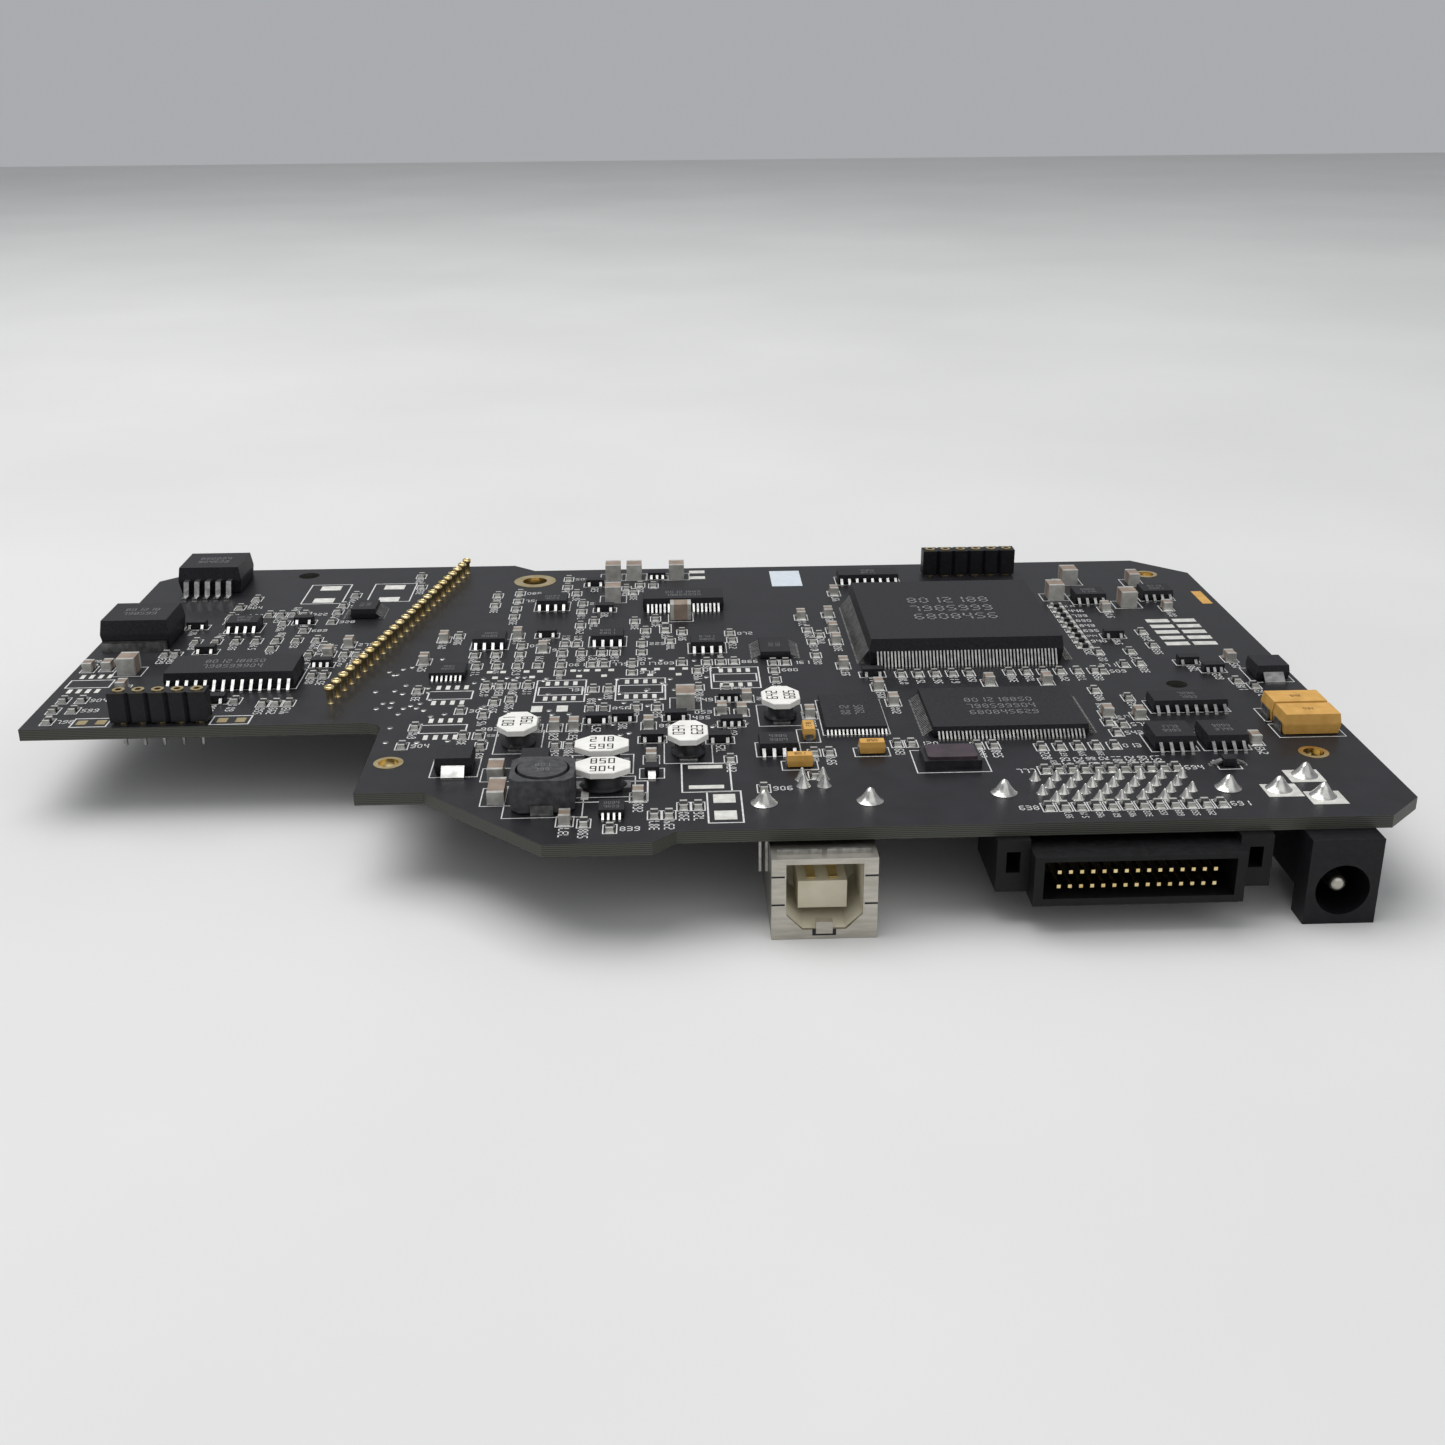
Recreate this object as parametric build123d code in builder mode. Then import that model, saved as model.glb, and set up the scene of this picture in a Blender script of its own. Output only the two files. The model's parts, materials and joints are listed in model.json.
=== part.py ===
# Spectrometer control board.
# A long dark circuit board, parts on top, three sockets hanging from its front edge.
# X runs along the board, Y towards its back edge, Z up. The origin is midway along
# and across the whole board, level with the undersides of the two lowest sockets.

import os

from build123d import *

os.makedirs("parts", exist_ok=True)

# Board
BOARD_HALF_LENGTH = 86.0
BOARD_BACK = 55.1
BOARD_THICKNESS = 1.57
BOARD_TOP = 12.2
BOARD_BOTTOM = BOARD_TOP - BOARD_THICKNESS
TONGUE_FRONT = -54.05
RIGHT_FRONT = -51.3
LEFT_FRONT = -16.5
STEP_FRONT = -39.1
CORNER_CUT = 4.8
NOTCH_RADIUS = 2.4

# Holes in the board
SCREW_HOLE = 2.5
SCREW_RING = 3.7
SCREW_HOLE_X = 78.8
SCREW_HOLE_FRONT = -32.8
SCREW_HOLE_BACK = 43.6
LONE_HOLE = (-35.9, -30.1)
GROUND_HOLE = (-23.1, 45.7)
GROUND_HOLE_SIZE = 4.0
GROUND_RING = 6.9
LOCATING_HOLE = (-61.5, 51.2)
LOCATING_HOLE_SIZE = 3.4
KEY_HOLE = (68.9, -8.1)
KEY_HOLE_SIZE = 2.9
PLATING = 0.12
TAIL_HOLE = 0.9
SLOT_GAP = 0.15

# Square USB socket under the front edge
USB_X = 16.0
USB_WIDTH = 12.0
USB_FRONT = -54.85
USB_DEPTH = 16.0
USB_TOP = BOARD_TOP - 2.1
USB_SHEET = 0.4
USB_MOUTH_WIDTH = 8.7
USB_MOUTH_HEIGHT = 8.2
USB_MOUTH_CUT = 1.9
USB_MOUTH_TOP = BOARD_TOP - 2.8
USB_TONGUE_WIDTH = 5.6
USB_TONGUE_THICKNESS = 3.4
USB_TONGUE_TOP = BOARD_TOP - 6.3
USB_TONGUE_FRONT = -52.0
USB_BACK_WALL = 6.0
USB_TAB = 2.0
USB_TAB_SEATS = [(USB_X - USB_WIDTH / 2 - USB_SHEET / 2, -44.2), (USB_X + USB_WIDTH / 2 + USB_SHEET / 2, -44.2)]
USB_CONTACT = (1.0, 0.25)
USB_TAIL = 0.5
USB_TAIL_POCKET = 2.2
USB_TAIL_REACH = 6.5
USB_TAIL_PITCH = 2.5
USB_TAIL_BACK = -37.7
USB_TAIL_FRONT = -39.7

# Power jack under the front edge
JACK_X = 75.2
JACK_WIDTH = 8.3
JACK_FRONT = -54.2
JACK_COLLAR = 3.6
JACK_DEPTH = 14.4
JACK_BARREL_DROP = 0.8
JACK_BORE = 6.25
JACK_BORE_DEPTH = 10.5
JACK_BORE_HEIGHT = BOARD_TOP - 7.9
JACK_PIN = 2.0
JACK_PIN_FRONT = -53.0
JACK_SPRING_GAUGE = 0.4
JACK_SPRING_LENGTH = 6.0
JACK_SPRING_RISE = 1.2
JACK_TAB_WIDTH = 2.2
JACK_TAB_GAUGE = 0.5
JACK_TAB_PLACES = ((70.7, -43.4, 90), (JACK_X, -39.55, 0), (JACK_X, -45.5, 0))

# Two-row header under the front edge
HEADER_X = 51.5
HEADER_WIDTH = 24.0
HEADER_FRONT = -BOARD_BACK
HEADER_TOP = BOARD_TOP - 2.5
HEADER_BASE = BOARD_TOP - 8.6
HEADER_DEPTH = 8.6
HEADER_MOUTH_WIDTH = 21.8
HEADER_MOUTH_TOP = BOARD_TOP - 3.1
HEADER_MOUTH_BASE = BOARD_TOP - 7.7
HEADER_MOUTH_DEPTH = 6.6
HEADER_PITCH = 1.27
HEADER_COLUMNS = 15
HEADER_PIN = 0.42
HEADER_PIN_FRONT = HEADER_FRONT + 1.1
HEADER_ROW_HEIGHTS = (BOARD_TOP - 4.9, BOARD_TOP - 6.7)
HEADER_TAIL_LINES = ((-43.2, -45.1), (-39.2, -41.3))
EAR_WIDTH = 3.8
EAR_FRONT = -52.5
EAR_DEPTH = 11.0
EAR_BASE = BOARD_TOP - 8.0
EAR_WINDOW = (1.6, 2.6)
EAR_WINDOW_HEIGHT = BOARD_TOP - 4.3
LOCK_WIDTH = 1.4
LOCK_GAUGE = 0.5
EAR_LOCK_SEATS = [(38.2, -42.7), (64.9, -42.7)]

# Solder joints
SOLDER_RADIUS = 0.85
SOLDER_RISE = 0.8

# Moulded packages
DRAFT = 8
BAND = 0.2
GAP_UNDER = 0.12


def seat(x, y, turn=0):
    """Place of a part on the board, turned about the vertical."""
    return Location((x, y, 0), (0, 0, turn))


def seats(places, turn=0):
    """Places of several parts turned the same way."""
    return [seat(x, y, turn) for x, y in places]


def run(first, pitch, count, y):
    """Evenly spaced places along X."""
    return [(first + pitch * step, y) for step in range(count)]


def keep(piece, label):
    """Labels a finished piece and writes it."""
    piece.part.label = label
    export_step(piece.part, f"parts/{label}.step")


def add_slab(base, height, places, length, width):
    """Adds upright blocks that stand at one height."""
    with BuildSketch(Plane.XY.offset(base)) as plan:
        with Locations(*places):
            Rectangle(length, width)
    extrude(plan.sketch, amount=height)


def add_bodies(places, length, width, height):
    """Adds moulded bodies, drafted up and down from a straight band at the leads."""
    band_base = waist_height(height) + BOARD_TOP - BAND / 2
    band_top = band_base + BAND
    add_slab(band_base, BAND, places, length, width)
    with BuildSketch(Plane.XY.offset(band_top)) as upper:
        with Locations(*places):
            Rectangle(length, width)
    extrude(upper.sketch, amount=BOARD_TOP + height - band_top, taper=DRAFT)
    with BuildSketch(Plane.XY.offset(band_base)) as lower:
        with Locations(*places):
            Rectangle(length, width)
    extrude(lower.sketch, amount=BOARD_TOP + GAP_UNDER - band_base, taper=DRAFT)


def waist_height(height):
    """Height of a package's lead line above the board."""
    return (GAP_UNDER + height) / 2


def gull_lead(body_half, toe_half, width, height, gauge=0.18):
    """One slender lead that slopes from a body's side down to its toe."""
    waist = waist_height(height)
    with BuildPart() as lead:
        with BuildSketch(Plane.YZ):
            with BuildLine():
                Polyline(
                    (body_half, waist + gauge / 2),
                    (toe_half, gauge),
                    (toe_half, 0),
                    (body_half, waist - gauge / 2),
                    close=True,
                )
            make_face()
        extrude(amount=width / 2, both=True)
    return lead.part


def stepped_lead(body_half, toe_half, width, height, gauge=0.5):
    """One wide lead with its shoulder, slope and foot."""
    waist = waist_height(height)
    reach = toe_half - body_half
    knee = body_half + 0.35 * reach
    heel = body_half + 0.6 * reach
    with BuildPart() as lead:
        with BuildSketch(Plane.YZ):
            with BuildLine():
                Polyline(
                    (body_half, waist + gauge / 2),
                    (knee, waist + gauge / 2),
                    (heel, gauge),
                    (toe_half, gauge),
                    (toe_half, 0),
                    (heel - gauge, 0),
                    (knee - gauge, waist - gauge / 2),
                    (body_half, waist - gauge / 2),
                    close=True,
                )
            make_face()
        extrude(amount=width / 2, both=True)
    return lead.part


def lead_seats(places, count, pitch, sides=(0, 180)):
    """Places of the leads along the chosen sides of each package."""
    middle = (count - 1) / 2
    lift = Location((0, 0, BOARD_TOP))
    return [
        lift * place * seat(0, 0, side) * seat((step - middle) * pitch, 0)
        for place in places
        for side in sides
        for step in range(count)
    ]


# Circuit board with its cut corners, stepped front and drilled holes
BACK_RIGHT = 51.8
BACK_CUT_RIGHT = -23.5
BACK_CUT_LEFT = -27.2
screw_holes = [(SCREW_HOLE_X, SCREW_HOLE_FRONT), (SCREW_HOLE_X, SCREW_HOLE_BACK), LONE_HOLE]
header_middle = (HEADER_COLUMNS - 1) / 2
header_columns = [HEADER_X + (step - header_middle) * HEADER_PITCH for step in range(HEADER_COLUMNS)]
header_tails = [
    (x, lines[column % 2]) for lines in HEADER_TAIL_LINES for column, x in enumerate(header_columns)
]
jack_tab_seats = [seat(x, y, turn) for x, y, turn in JACK_TAB_PLACES]
usb_tails = [
    (USB_X + side * USB_TAIL_PITCH / 2, y)
    for side in (-1, 1)
    for y in (USB_TAIL_FRONT, USB_TAIL_BACK)
]

with BuildPart() as circuit_board:
    with BuildSketch(Plane.XY.offset(BOARD_BOTTOM)) as outline:
        with BuildLine():
            Polyline(
                (-BOARD_HALF_LENGTH, LEFT_FRONT),
                (-38.7 - NOTCH_RADIUS, LEFT_FRONT),
            )
            RadiusArc((-38.7 - NOTCH_RADIUS, LEFT_FRONT), (-38.7, LEFT_FRONT - NOTCH_RADIUS), NOTCH_RADIUS)
            Polyline(
                (-38.7, LEFT_FRONT - NOTCH_RADIUS),
                (-38.7, STEP_FRONT),
                (-30.5, STEP_FRONT),
                (-15.5, TONGUE_FRONT),
                (-3.2, TONGUE_FRONT),
                (-0.5, RIGHT_FRONT),
                (BOARD_HALF_LENGTH - CORNER_CUT, RIGHT_FRONT),
                (BOARD_HALF_LENGTH, RIGHT_FRONT + CORNER_CUT),
                (BOARD_HALF_LENGTH, BACK_RIGHT - 7.7),
                (BOARD_HALF_LENGTH - 7.7, BACK_RIGHT),
                (BACK_CUT_RIGHT, BACK_RIGHT),
                (BACK_CUT_LEFT, BOARD_BACK),
                (-BOARD_HALF_LENGTH + 5.7, BOARD_BACK),
                (-BOARD_HALF_LENGTH, BOARD_BACK - 5.7),
                (-BOARD_HALF_LENGTH, LEFT_FRONT),
            )
        make_face()
        with Locations(*screw_holes):
            Circle(SCREW_HOLE / 2 + PLATING, mode=Mode.SUBTRACT)
        with Locations(GROUND_HOLE):
            Circle(GROUND_HOLE_SIZE / 2 + PLATING, mode=Mode.SUBTRACT)
        with Locations(LOCATING_HOLE):
            Circle(LOCATING_HOLE_SIZE / 2, mode=Mode.SUBTRACT)
        with Locations(KEY_HOLE):
            Circle(KEY_HOLE_SIZE / 2, mode=Mode.SUBTRACT)
        with Locations(*header_tails, *usb_tails):
            RegularPolygon(TAIL_HOLE / 2, 6, mode=Mode.SUBTRACT)
        with Locations(*USB_TAB_SEATS):
            Rectangle(USB_SHEET + 2 * SLOT_GAP, USB_TAB + 2 * SLOT_GAP, mode=Mode.SUBTRACT)
        with Locations(*jack_tab_seats):
            Rectangle(JACK_TAB_WIDTH + 2 * SLOT_GAP, JACK_TAB_GAUGE + 2 * SLOT_GAP, mode=Mode.SUBTRACT)
        with Locations(*EAR_LOCK_SEATS):
            Rectangle(LOCK_WIDTH + 2 * SLOT_GAP, LOCK_GAUGE + 2 * SLOT_GAP, mode=Mode.SUBTRACT)
    extrude(amount=BOARD_THICKNESS)
keep(circuit_board, "circuit_board")

# Plated rings that line the screw holes and the large ground hole
with BuildPart() as hole_plating:
    for places, hole, ring in (
        (screw_holes, SCREW_HOLE, SCREW_RING),
        ([GROUND_HOLE], GROUND_HOLE_SIZE, GROUND_RING),
    ):
        with BuildSketch(Plane.XY.offset(BOARD_BOTTOM)):
            with Locations(*places):
                Circle(hole / 2 + PLATING)
        extrude(amount=BOARD_THICKNESS)
        with BuildSketch(Plane.XY.offset(BOARD_TOP)):
            with Locations(*places):
                Circle(ring / 2)
        extrude(amount=PLATING / 2)
        with BuildSketch(Plane.XY.offset(BOARD_BOTTOM - PLATING / 2)):
            with Locations(*places):
                Circle(ring / 2)
        extrude(amount=PLATING / 2)
        with BuildSketch(Plane.XY.offset(BOARD_BOTTOM - PLATING)):
            with Locations(*places):
                Circle(hole / 2)
        extrude(amount=BOARD_THICKNESS + 2 * PLATING, mode=Mode.SUBTRACT)
keep(hole_plating, "hole_plating")


def cut_usb_mouth(front, depth):
    """Cuts the USB opening, square on top and cut at its lower corners."""
    with BuildSketch(Plane.XZ.offset(-front)) as mouth:
        with Locations((USB_X, USB_MOUTH_TOP - USB_MOUTH_HEIGHT / 2)):
            Rectangle(USB_MOUTH_WIDTH, USB_MOUTH_HEIGHT)
        chamfer(mouth.vertices().group_by(Axis.Y)[0], USB_MOUTH_CUT)
    extrude(mouth.sketch, amount=-depth, mode=Mode.SUBTRACT)


# USB socket shell: folded steel sheet with an opening in front and a tab on each side
usb_back = USB_FRONT + USB_DEPTH
usb_inner_width = USB_WIDTH - 2 * USB_SHEET
usb_inner_height = USB_TOP - 2 * USB_SHEET
with BuildPart() as usb_shell:
    with BuildSketch(Plane.XZ.offset(-USB_FRONT)):
        with Locations((USB_X, USB_TOP / 2)):
            Rectangle(USB_WIDTH, USB_TOP)
    extrude(amount=-USB_DEPTH)
    with BuildSketch(Plane.XZ.offset(-USB_FRONT - USB_SHEET)):
        with Locations((USB_X, USB_TOP / 2)):
            Rectangle(usb_inner_width, usb_inner_height)
    extrude(amount=-USB_DEPTH, mode=Mode.SUBTRACT)
    cut_usb_mouth(USB_FRONT, USB_SHEET)
    with BuildSketch(Plane.XY.offset(USB_TOP)):
        with Locations((USB_X, usb_back)):
            Rectangle(USB_TONGUE_WIDTH, USB_TAIL_POCKET)
    extrude(amount=-USB_SHEET, mode=Mode.SUBTRACT)
    with BuildSketch(Plane.XY.offset(USB_TOP - USB_TAB)):
        with Locations(*USB_TAB_SEATS):
            Rectangle(USB_SHEET, USB_TAB)
    extrude(amount=BOARD_TOP - USB_TOP + USB_TAB)
keep(usb_shell, "usb_shell")

# USB insulator: a lined box with a back wall, tail grooves and the square tongue
with BuildPart() as usb_insulator:
    with BuildSketch(Plane.XZ.offset(-USB_FRONT - USB_SHEET)):
        with Locations((USB_X, USB_TOP / 2)):
            Rectangle(usb_inner_width, usb_inner_height)
    extrude(amount=-(USB_DEPTH - USB_SHEET))
    cut_usb_mouth(USB_FRONT + USB_SHEET, USB_DEPTH - USB_SHEET - USB_BACK_WALL)
    with BuildSketch(Plane.XZ.offset(-usb_back + USB_BACK_WALL)):
        with Locations((USB_X, USB_TONGUE_TOP - USB_TONGUE_THICKNESS / 2)):
            Rectangle(USB_TONGUE_WIDTH, USB_TONGUE_THICKNESS)
    extrude(amount=usb_back - USB_BACK_WALL - USB_TONGUE_FRONT)
    with BuildSketch(Plane.XY.offset(USB_TOP)):
        with Locations((USB_X - USB_TAIL_PITCH / 2, usb_back), (USB_X + USB_TAIL_PITCH / 2, usb_back)):
            Rectangle(USB_TAIL, USB_TAIL_POCKET)
    extrude(amount=-USB_TAIL_REACH, mode=Mode.SUBTRACT)
keep(usb_insulator, "usb_insulator")

# USB contacts: blades on both faces of the tongue and four tails behind
usb_contact_width, usb_contact_gauge = USB_CONTACT
usb_blade_length = usb_back - USB_BACK_WALL - USB_TONGUE_FRONT - 0.5
usb_blade_y = usb_back - USB_BACK_WALL - usb_blade_length / 2
usb_blades = [(USB_X - USB_TAIL_PITCH / 2, usb_blade_y), (USB_X + USB_TAIL_PITCH / 2, usb_blade_y)]
with BuildPart() as usb_contacts:
    add_slab(USB_TONGUE_TOP, usb_contact_gauge, usb_blades, usb_contact_width, usb_blade_length)
    under_tongue = USB_TONGUE_TOP - USB_TONGUE_THICKNESS - usb_contact_gauge
    add_slab(under_tongue, usb_contact_gauge, usb_blades, usb_contact_width, usb_blade_length)
    tail_base = USB_TOP - USB_TAIL_REACH
    add_slab(tail_base, BOARD_TOP - tail_base, usb_tails, USB_TAIL, USB_TAIL)
    elbow = [(x, (USB_TAIL_FRONT + USB_TAIL_BACK) / 2) for x, _ in usb_blades]
    add_slab(tail_base, USB_TAIL, elbow, USB_TAIL, USB_TAIL_BACK - USB_TAIL_FRONT)
keep(usb_contacts, "usb_contacts")

# Power jack: a square collar in front, a barrel with rounded lower corners behind
jack_top = BOARD_BOTTOM
jack_back = JACK_FRONT + JACK_DEPTH
jack_barrel_depth = JACK_DEPTH - JACK_COLLAR
with BuildPart() as jack_housing:
    with BuildSketch(Plane.XZ.offset(-JACK_FRONT)):
        with Locations((JACK_X, jack_top / 2)):
            Rectangle(JACK_WIDTH, jack_top)
    extrude(amount=-JACK_COLLAR)
    with BuildSketch(Plane.XZ.offset(-JACK_FRONT - JACK_COLLAR)) as barrel:
        with Locations((JACK_X, (jack_top + JACK_BARREL_DROP) / 2)):
            Rectangle(JACK_WIDTH - 0.6, jack_top - JACK_BARREL_DROP)
        chamfer(barrel.vertices().group_by(Axis.Y)[0], 2.2)
    extrude(amount=-jack_barrel_depth)
    with BuildSketch(Plane.XZ.offset(-JACK_FRONT)):
        with Locations((JACK_X, JACK_BORE_HEIGHT)):
            Circle(JACK_BORE / 2)
    extrude(amount=-JACK_BORE_DEPTH, mode=Mode.SUBTRACT)
    with BuildSketch(Plane.XY.offset(JACK_BORE_HEIGHT)):
        with Locations((JACK_X - JACK_BORE / 2, JACK_FRONT + JACK_BORE_DEPTH / 2)):
            Rectangle(2 * JACK_SPRING_GAUGE, JACK_SPRING_LENGTH)
    extrude(amount=JACK_SPRING_RISE, mode=Mode.SUBTRACT)
keep(jack_housing, "jack_housing")

# Jack centre pin, round nosed, standing on the back wall of the bore
with BuildPart() as jack_centre_pin:
    with BuildSketch(Plane.XZ.offset(-JACK_FRONT - JACK_BORE_DEPTH)):
        with Locations((JACK_X, JACK_BORE_HEIGHT)):
            Circle(JACK_PIN / 2)
    extrude(amount=JACK_FRONT + JACK_BORE_DEPTH - JACK_PIN_FRONT)
    fillet(jack_centre_pin.faces().sort_by(Axis.Y)[0].edges(), JACK_PIN / 3)
keep(jack_centre_pin, "jack_centre_pin")

# Jack contacts: the side spring in its pocket and three tabs through the board
with BuildPart() as jack_contacts:
    with BuildSketch(Plane.XY.offset(JACK_BORE_HEIGHT)):
        with Locations((JACK_X - JACK_BORE / 2 - JACK_SPRING_GAUGE / 2, JACK_FRONT + JACK_BORE_DEPTH / 2)):
            Rectangle(JACK_SPRING_GAUGE, JACK_SPRING_LENGTH)
    extrude(amount=JACK_SPRING_RISE)
    add_slab(BOARD_BOTTOM, BOARD_THICKNESS, jack_tab_seats, JACK_TAB_WIDTH, JACK_TAB_GAUGE)
keep(jack_contacts, "jack_contacts")

# Header shroud: open box with pin holes in its back wall and an ear at each end
header_back = HEADER_FRONT + HEADER_DEPTH
header_side = HEADER_WIDTH / 2 + EAR_WIDTH / 2
header_cells = [(x, z) for z in HEADER_ROW_HEIGHTS for x in header_columns]
with BuildPart() as header_shroud:
    with BuildSketch(Plane.XZ.offset(-HEADER_FRONT)):
        with Locations((HEADER_X, (HEADER_TOP + HEADER_BASE) / 2)):
            Rectangle(HEADER_WIDTH, HEADER_TOP - HEADER_BASE)
    extrude(amount=-HEADER_DEPTH)
    with BuildSketch(Plane.XZ.offset(-HEADER_FRONT)):
        with Locations((HEADER_X, (HEADER_MOUTH_TOP + HEADER_MOUTH_BASE) / 2)):
            Rectangle(HEADER_MOUTH_WIDTH, HEADER_MOUTH_TOP - HEADER_MOUTH_BASE)
    extrude(amount=-HEADER_MOUTH_DEPTH, mode=Mode.SUBTRACT)
    with BuildSketch(Plane.XZ.offset(-EAR_FRONT)):
        with Locations(
            (HEADER_X - header_side, (BOARD_BOTTOM + EAR_BASE) / 2),
            (HEADER_X + header_side, (BOARD_BOTTOM + EAR_BASE) / 2),
        ):
            Rectangle(EAR_WIDTH, BOARD_BOTTOM - EAR_BASE)
        with Locations(
            (HEADER_X - header_side, EAR_WINDOW_HEIGHT),
            (HEADER_X + header_side, EAR_WINDOW_HEIGHT),
        ):
            Rectangle(*EAR_WINDOW, mode=Mode.SUBTRACT)
    extrude(amount=-EAR_DEPTH)
    with BuildSketch(Plane.XZ.offset(-header_back)):
        with Locations(*header_cells):
            Rectangle(HEADER_PIN, HEADER_PIN)
    extrude(amount=HEADER_DEPTH, mode=Mode.SUBTRACT)
keep(header_shroud, "header_shroud")

# Header pins: square wire bent up through the board, the lower row behind the upper
with BuildPart() as header_pins:
    for row_height, tail_lines in zip(HEADER_ROW_HEIGHTS, HEADER_TAIL_LINES):
        for column, x in enumerate(header_columns):
            tail_y = tail_lines[column % 2]
            with BuildSketch(Plane.YZ.offset(x)):
                with BuildLine():
                    Polyline(
                        (HEADER_PIN_FRONT, row_height - HEADER_PIN / 2),
                        (tail_y + HEADER_PIN / 2, row_height - HEADER_PIN / 2),
                        (tail_y + HEADER_PIN / 2, BOARD_TOP),
                        (tail_y - HEADER_PIN / 2, BOARD_TOP),
                        (tail_y - HEADER_PIN / 2, row_height + HEADER_PIN / 2),
                        (HEADER_PIN_FRONT, row_height + HEADER_PIN / 2),
                        close=True,
                    )
                make_face()
    extrude(amount=HEADER_PIN / 2, both=True)
keep(header_pins, "header_pins")

# Header locks: two flat prongs from the ears through the board
with BuildPart() as header_locks:
    add_slab(BOARD_BOTTOM, BOARD_THICKNESS, EAR_LOCK_SEATS, LOCK_WIDTH, LOCK_GAUGE)
keep(header_locks, "header_locks")

# Solder fillets over every tail that comes up through the board
joint_places = [*header_tails, *usb_tails, *USB_TAB_SEATS, *EAR_LOCK_SEATS]
joint_places += [(x, y) for x, y, _ in JACK_TAB_PLACES]
with BuildPart() as joint_solder:
    with BuildSketch(Plane.XY.offset(BOARD_TOP)):
        with Locations(*joint_places):
            RegularPolygon(SOLDER_RADIUS, 6)
    extrude(amount=SOLDER_RISE, taper=35)
keep(joint_solder, "joint_solder")


# Gate array: large square package with 52 leads a side and raised ejector arcs
GATE_ARRAY = [seat(41.4, 15.6)]
GATE_ARRAY_SIZE = 27.8
GATE_ARRAY_HEIGHT = 3.9
GATE_ARRAY_TOE = 15.3
with BuildPart() as gate_array_body:
    add_bodies(GATE_ARRAY, GATE_ARRAY_SIZE, GATE_ARRAY_SIZE, GATE_ARRAY_HEIGHT)
keep(gate_array_body, "gate_array_body")

fine_lead = gull_lead(GATE_ARRAY_SIZE / 2, GATE_ARRAY_TOE, 0.22, GATE_ARRAY_HEIGHT)
with BuildPart() as gate_array_leads:
    with Locations(*lead_seats(GATE_ARRAY, 52, 0.5, (0, 90, 180, 270))):
        add(fine_lead)
keep(gate_array_leads, "gate_array_leads")

# USB controller: oblong package with 38 leads front and back, 26 at each end
CONTROLLER = [seat(42.4, -18.6)]
CONTROLLER_LENGTH = 20.0
CONTROLLER_WIDTH = 14.0
CONTROLLER_HEIGHT = 1.5
LEAD_REACH = 1.0
with BuildPart() as usb_controller_body:
    add_bodies(CONTROLLER, CONTROLLER_LENGTH, CONTROLLER_WIDTH, CONTROLLER_HEIGHT)
keep(usb_controller_body, "usb_controller_body")

long_side_lead = gull_lead(CONTROLLER_WIDTH / 2, CONTROLLER_WIDTH / 2 + LEAD_REACH, 0.22, CONTROLLER_HEIGHT)
end_lead = gull_lead(CONTROLLER_LENGTH / 2, CONTROLLER_LENGTH / 2 + LEAD_REACH, 0.22, CONTROLLER_HEIGHT)
with BuildPart() as usb_controller_leads:
    with Locations(*lead_seats(CONTROLLER, 38, 0.5)):
        add(long_side_lead)
    with Locations(*lead_seats(CONTROLLER, 26, 0.5, (90, 270))):
        add(end_lead)
keep(usb_controller_leads, "usb_controller_leads")

# Memory: thin package with 16 leads front and back
MEMORY = [seat(22.9, -17.8)]
with BuildPart() as memory_body:
    add_bodies(MEMORY, 8.0, 11.8, 1.0)
keep(memory_body, "memory_body")

memory_lead = gull_lead(5.9, 6.7, 0.22, 1.0)
with BuildPart() as memory_leads:
    with Locations(*lead_seats(MEMORY, 16, 0.5)):
        add(memory_lead)
keep(memory_leads, "memory_leads")

# Converter: the long wide package on the left, 14 leads a side
CONVERTER = [seat(-61.85, 0.8)]
with BuildPart() as converter_body:
    add_bodies(CONVERTER, 17.9, 7.5, 2.5)
keep(converter_body, "converter_body")

converter_lead = gull_lead(3.75, 5.15, 0.42, 2.5, 0.28)
with BuildPart() as converter_leads:
    with Locations(*lead_seats(CONVERTER, 14, 1.27)):
        add(converter_lead)
keep(converter_leads, "converter_leads")

# Line driver: narrow long package at the back, 18 leads a side
LINE_DRIVER = [seat(1.35, 31.0)]
with BuildPart() as line_driver_body:
    add_bodies(LINE_DRIVER, 12.7, 5.3, 2.1)
keep(line_driver_body, "line_driver_body")

line_driver_lead = gull_lead(2.65, 3.9, 0.3, 2.1, 0.22)
with BuildPart() as line_driver_leads:
    with Locations(*lead_seats(LINE_DRIVER, 18, 0.65)):
        add(line_driver_lead)
keep(line_driver_leads, "line_driver_leads")

# Small outline packages: length, width, height, leads a side, pitch, toe reach, seats
SMALL_OUTLINES = (
    (4.9, 3.9, 1.6, 4, 1.27, 3.0, seats([
        (-27.5, 13.9), (-10.1, 14.3), (4.6, 10.6), (-19.35, 31.8),
        (12.5, -28.3), (65.8, 30.3), (76.8, 31.4), (-65.9, 23.7),
    ])),
    (5.3, 5.3, 1.9, 4, 1.27, 3.95, seats([(61.9, -28.6), (68.5, -28.6)])),
    (9.9, 3.9, 1.6, 8, 1.27, 3.0, seats([(67.7, -16.4), (32.0, 42.85)])),
)
FINE_OUTLINES = (
    (5.0, 4.4, 1.05, 7, 0.65, 3.2, seats([(-32.2, 1.4)])),
    (3.0, 3.0, 1.0, 4, 0.65, 2.45, seats([(-7.9, -45.9)])),
    (6.5, 4.4, 1.1, 10, 0.65, 3.3, seats([(14.35, 8.6)], 90)),
    (4.9, 3.9, 1.6, 8, 0.635, 3.0, seats([(-48.4, 29.7)], 90)),
)
with BuildPart() as small_outline_bodies:
    for length, width, height, _, _, _, places in SMALL_OUTLINES:
        add_bodies(places, length, width, height)
keep(small_outline_bodies, "small_outline_bodies")

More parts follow.
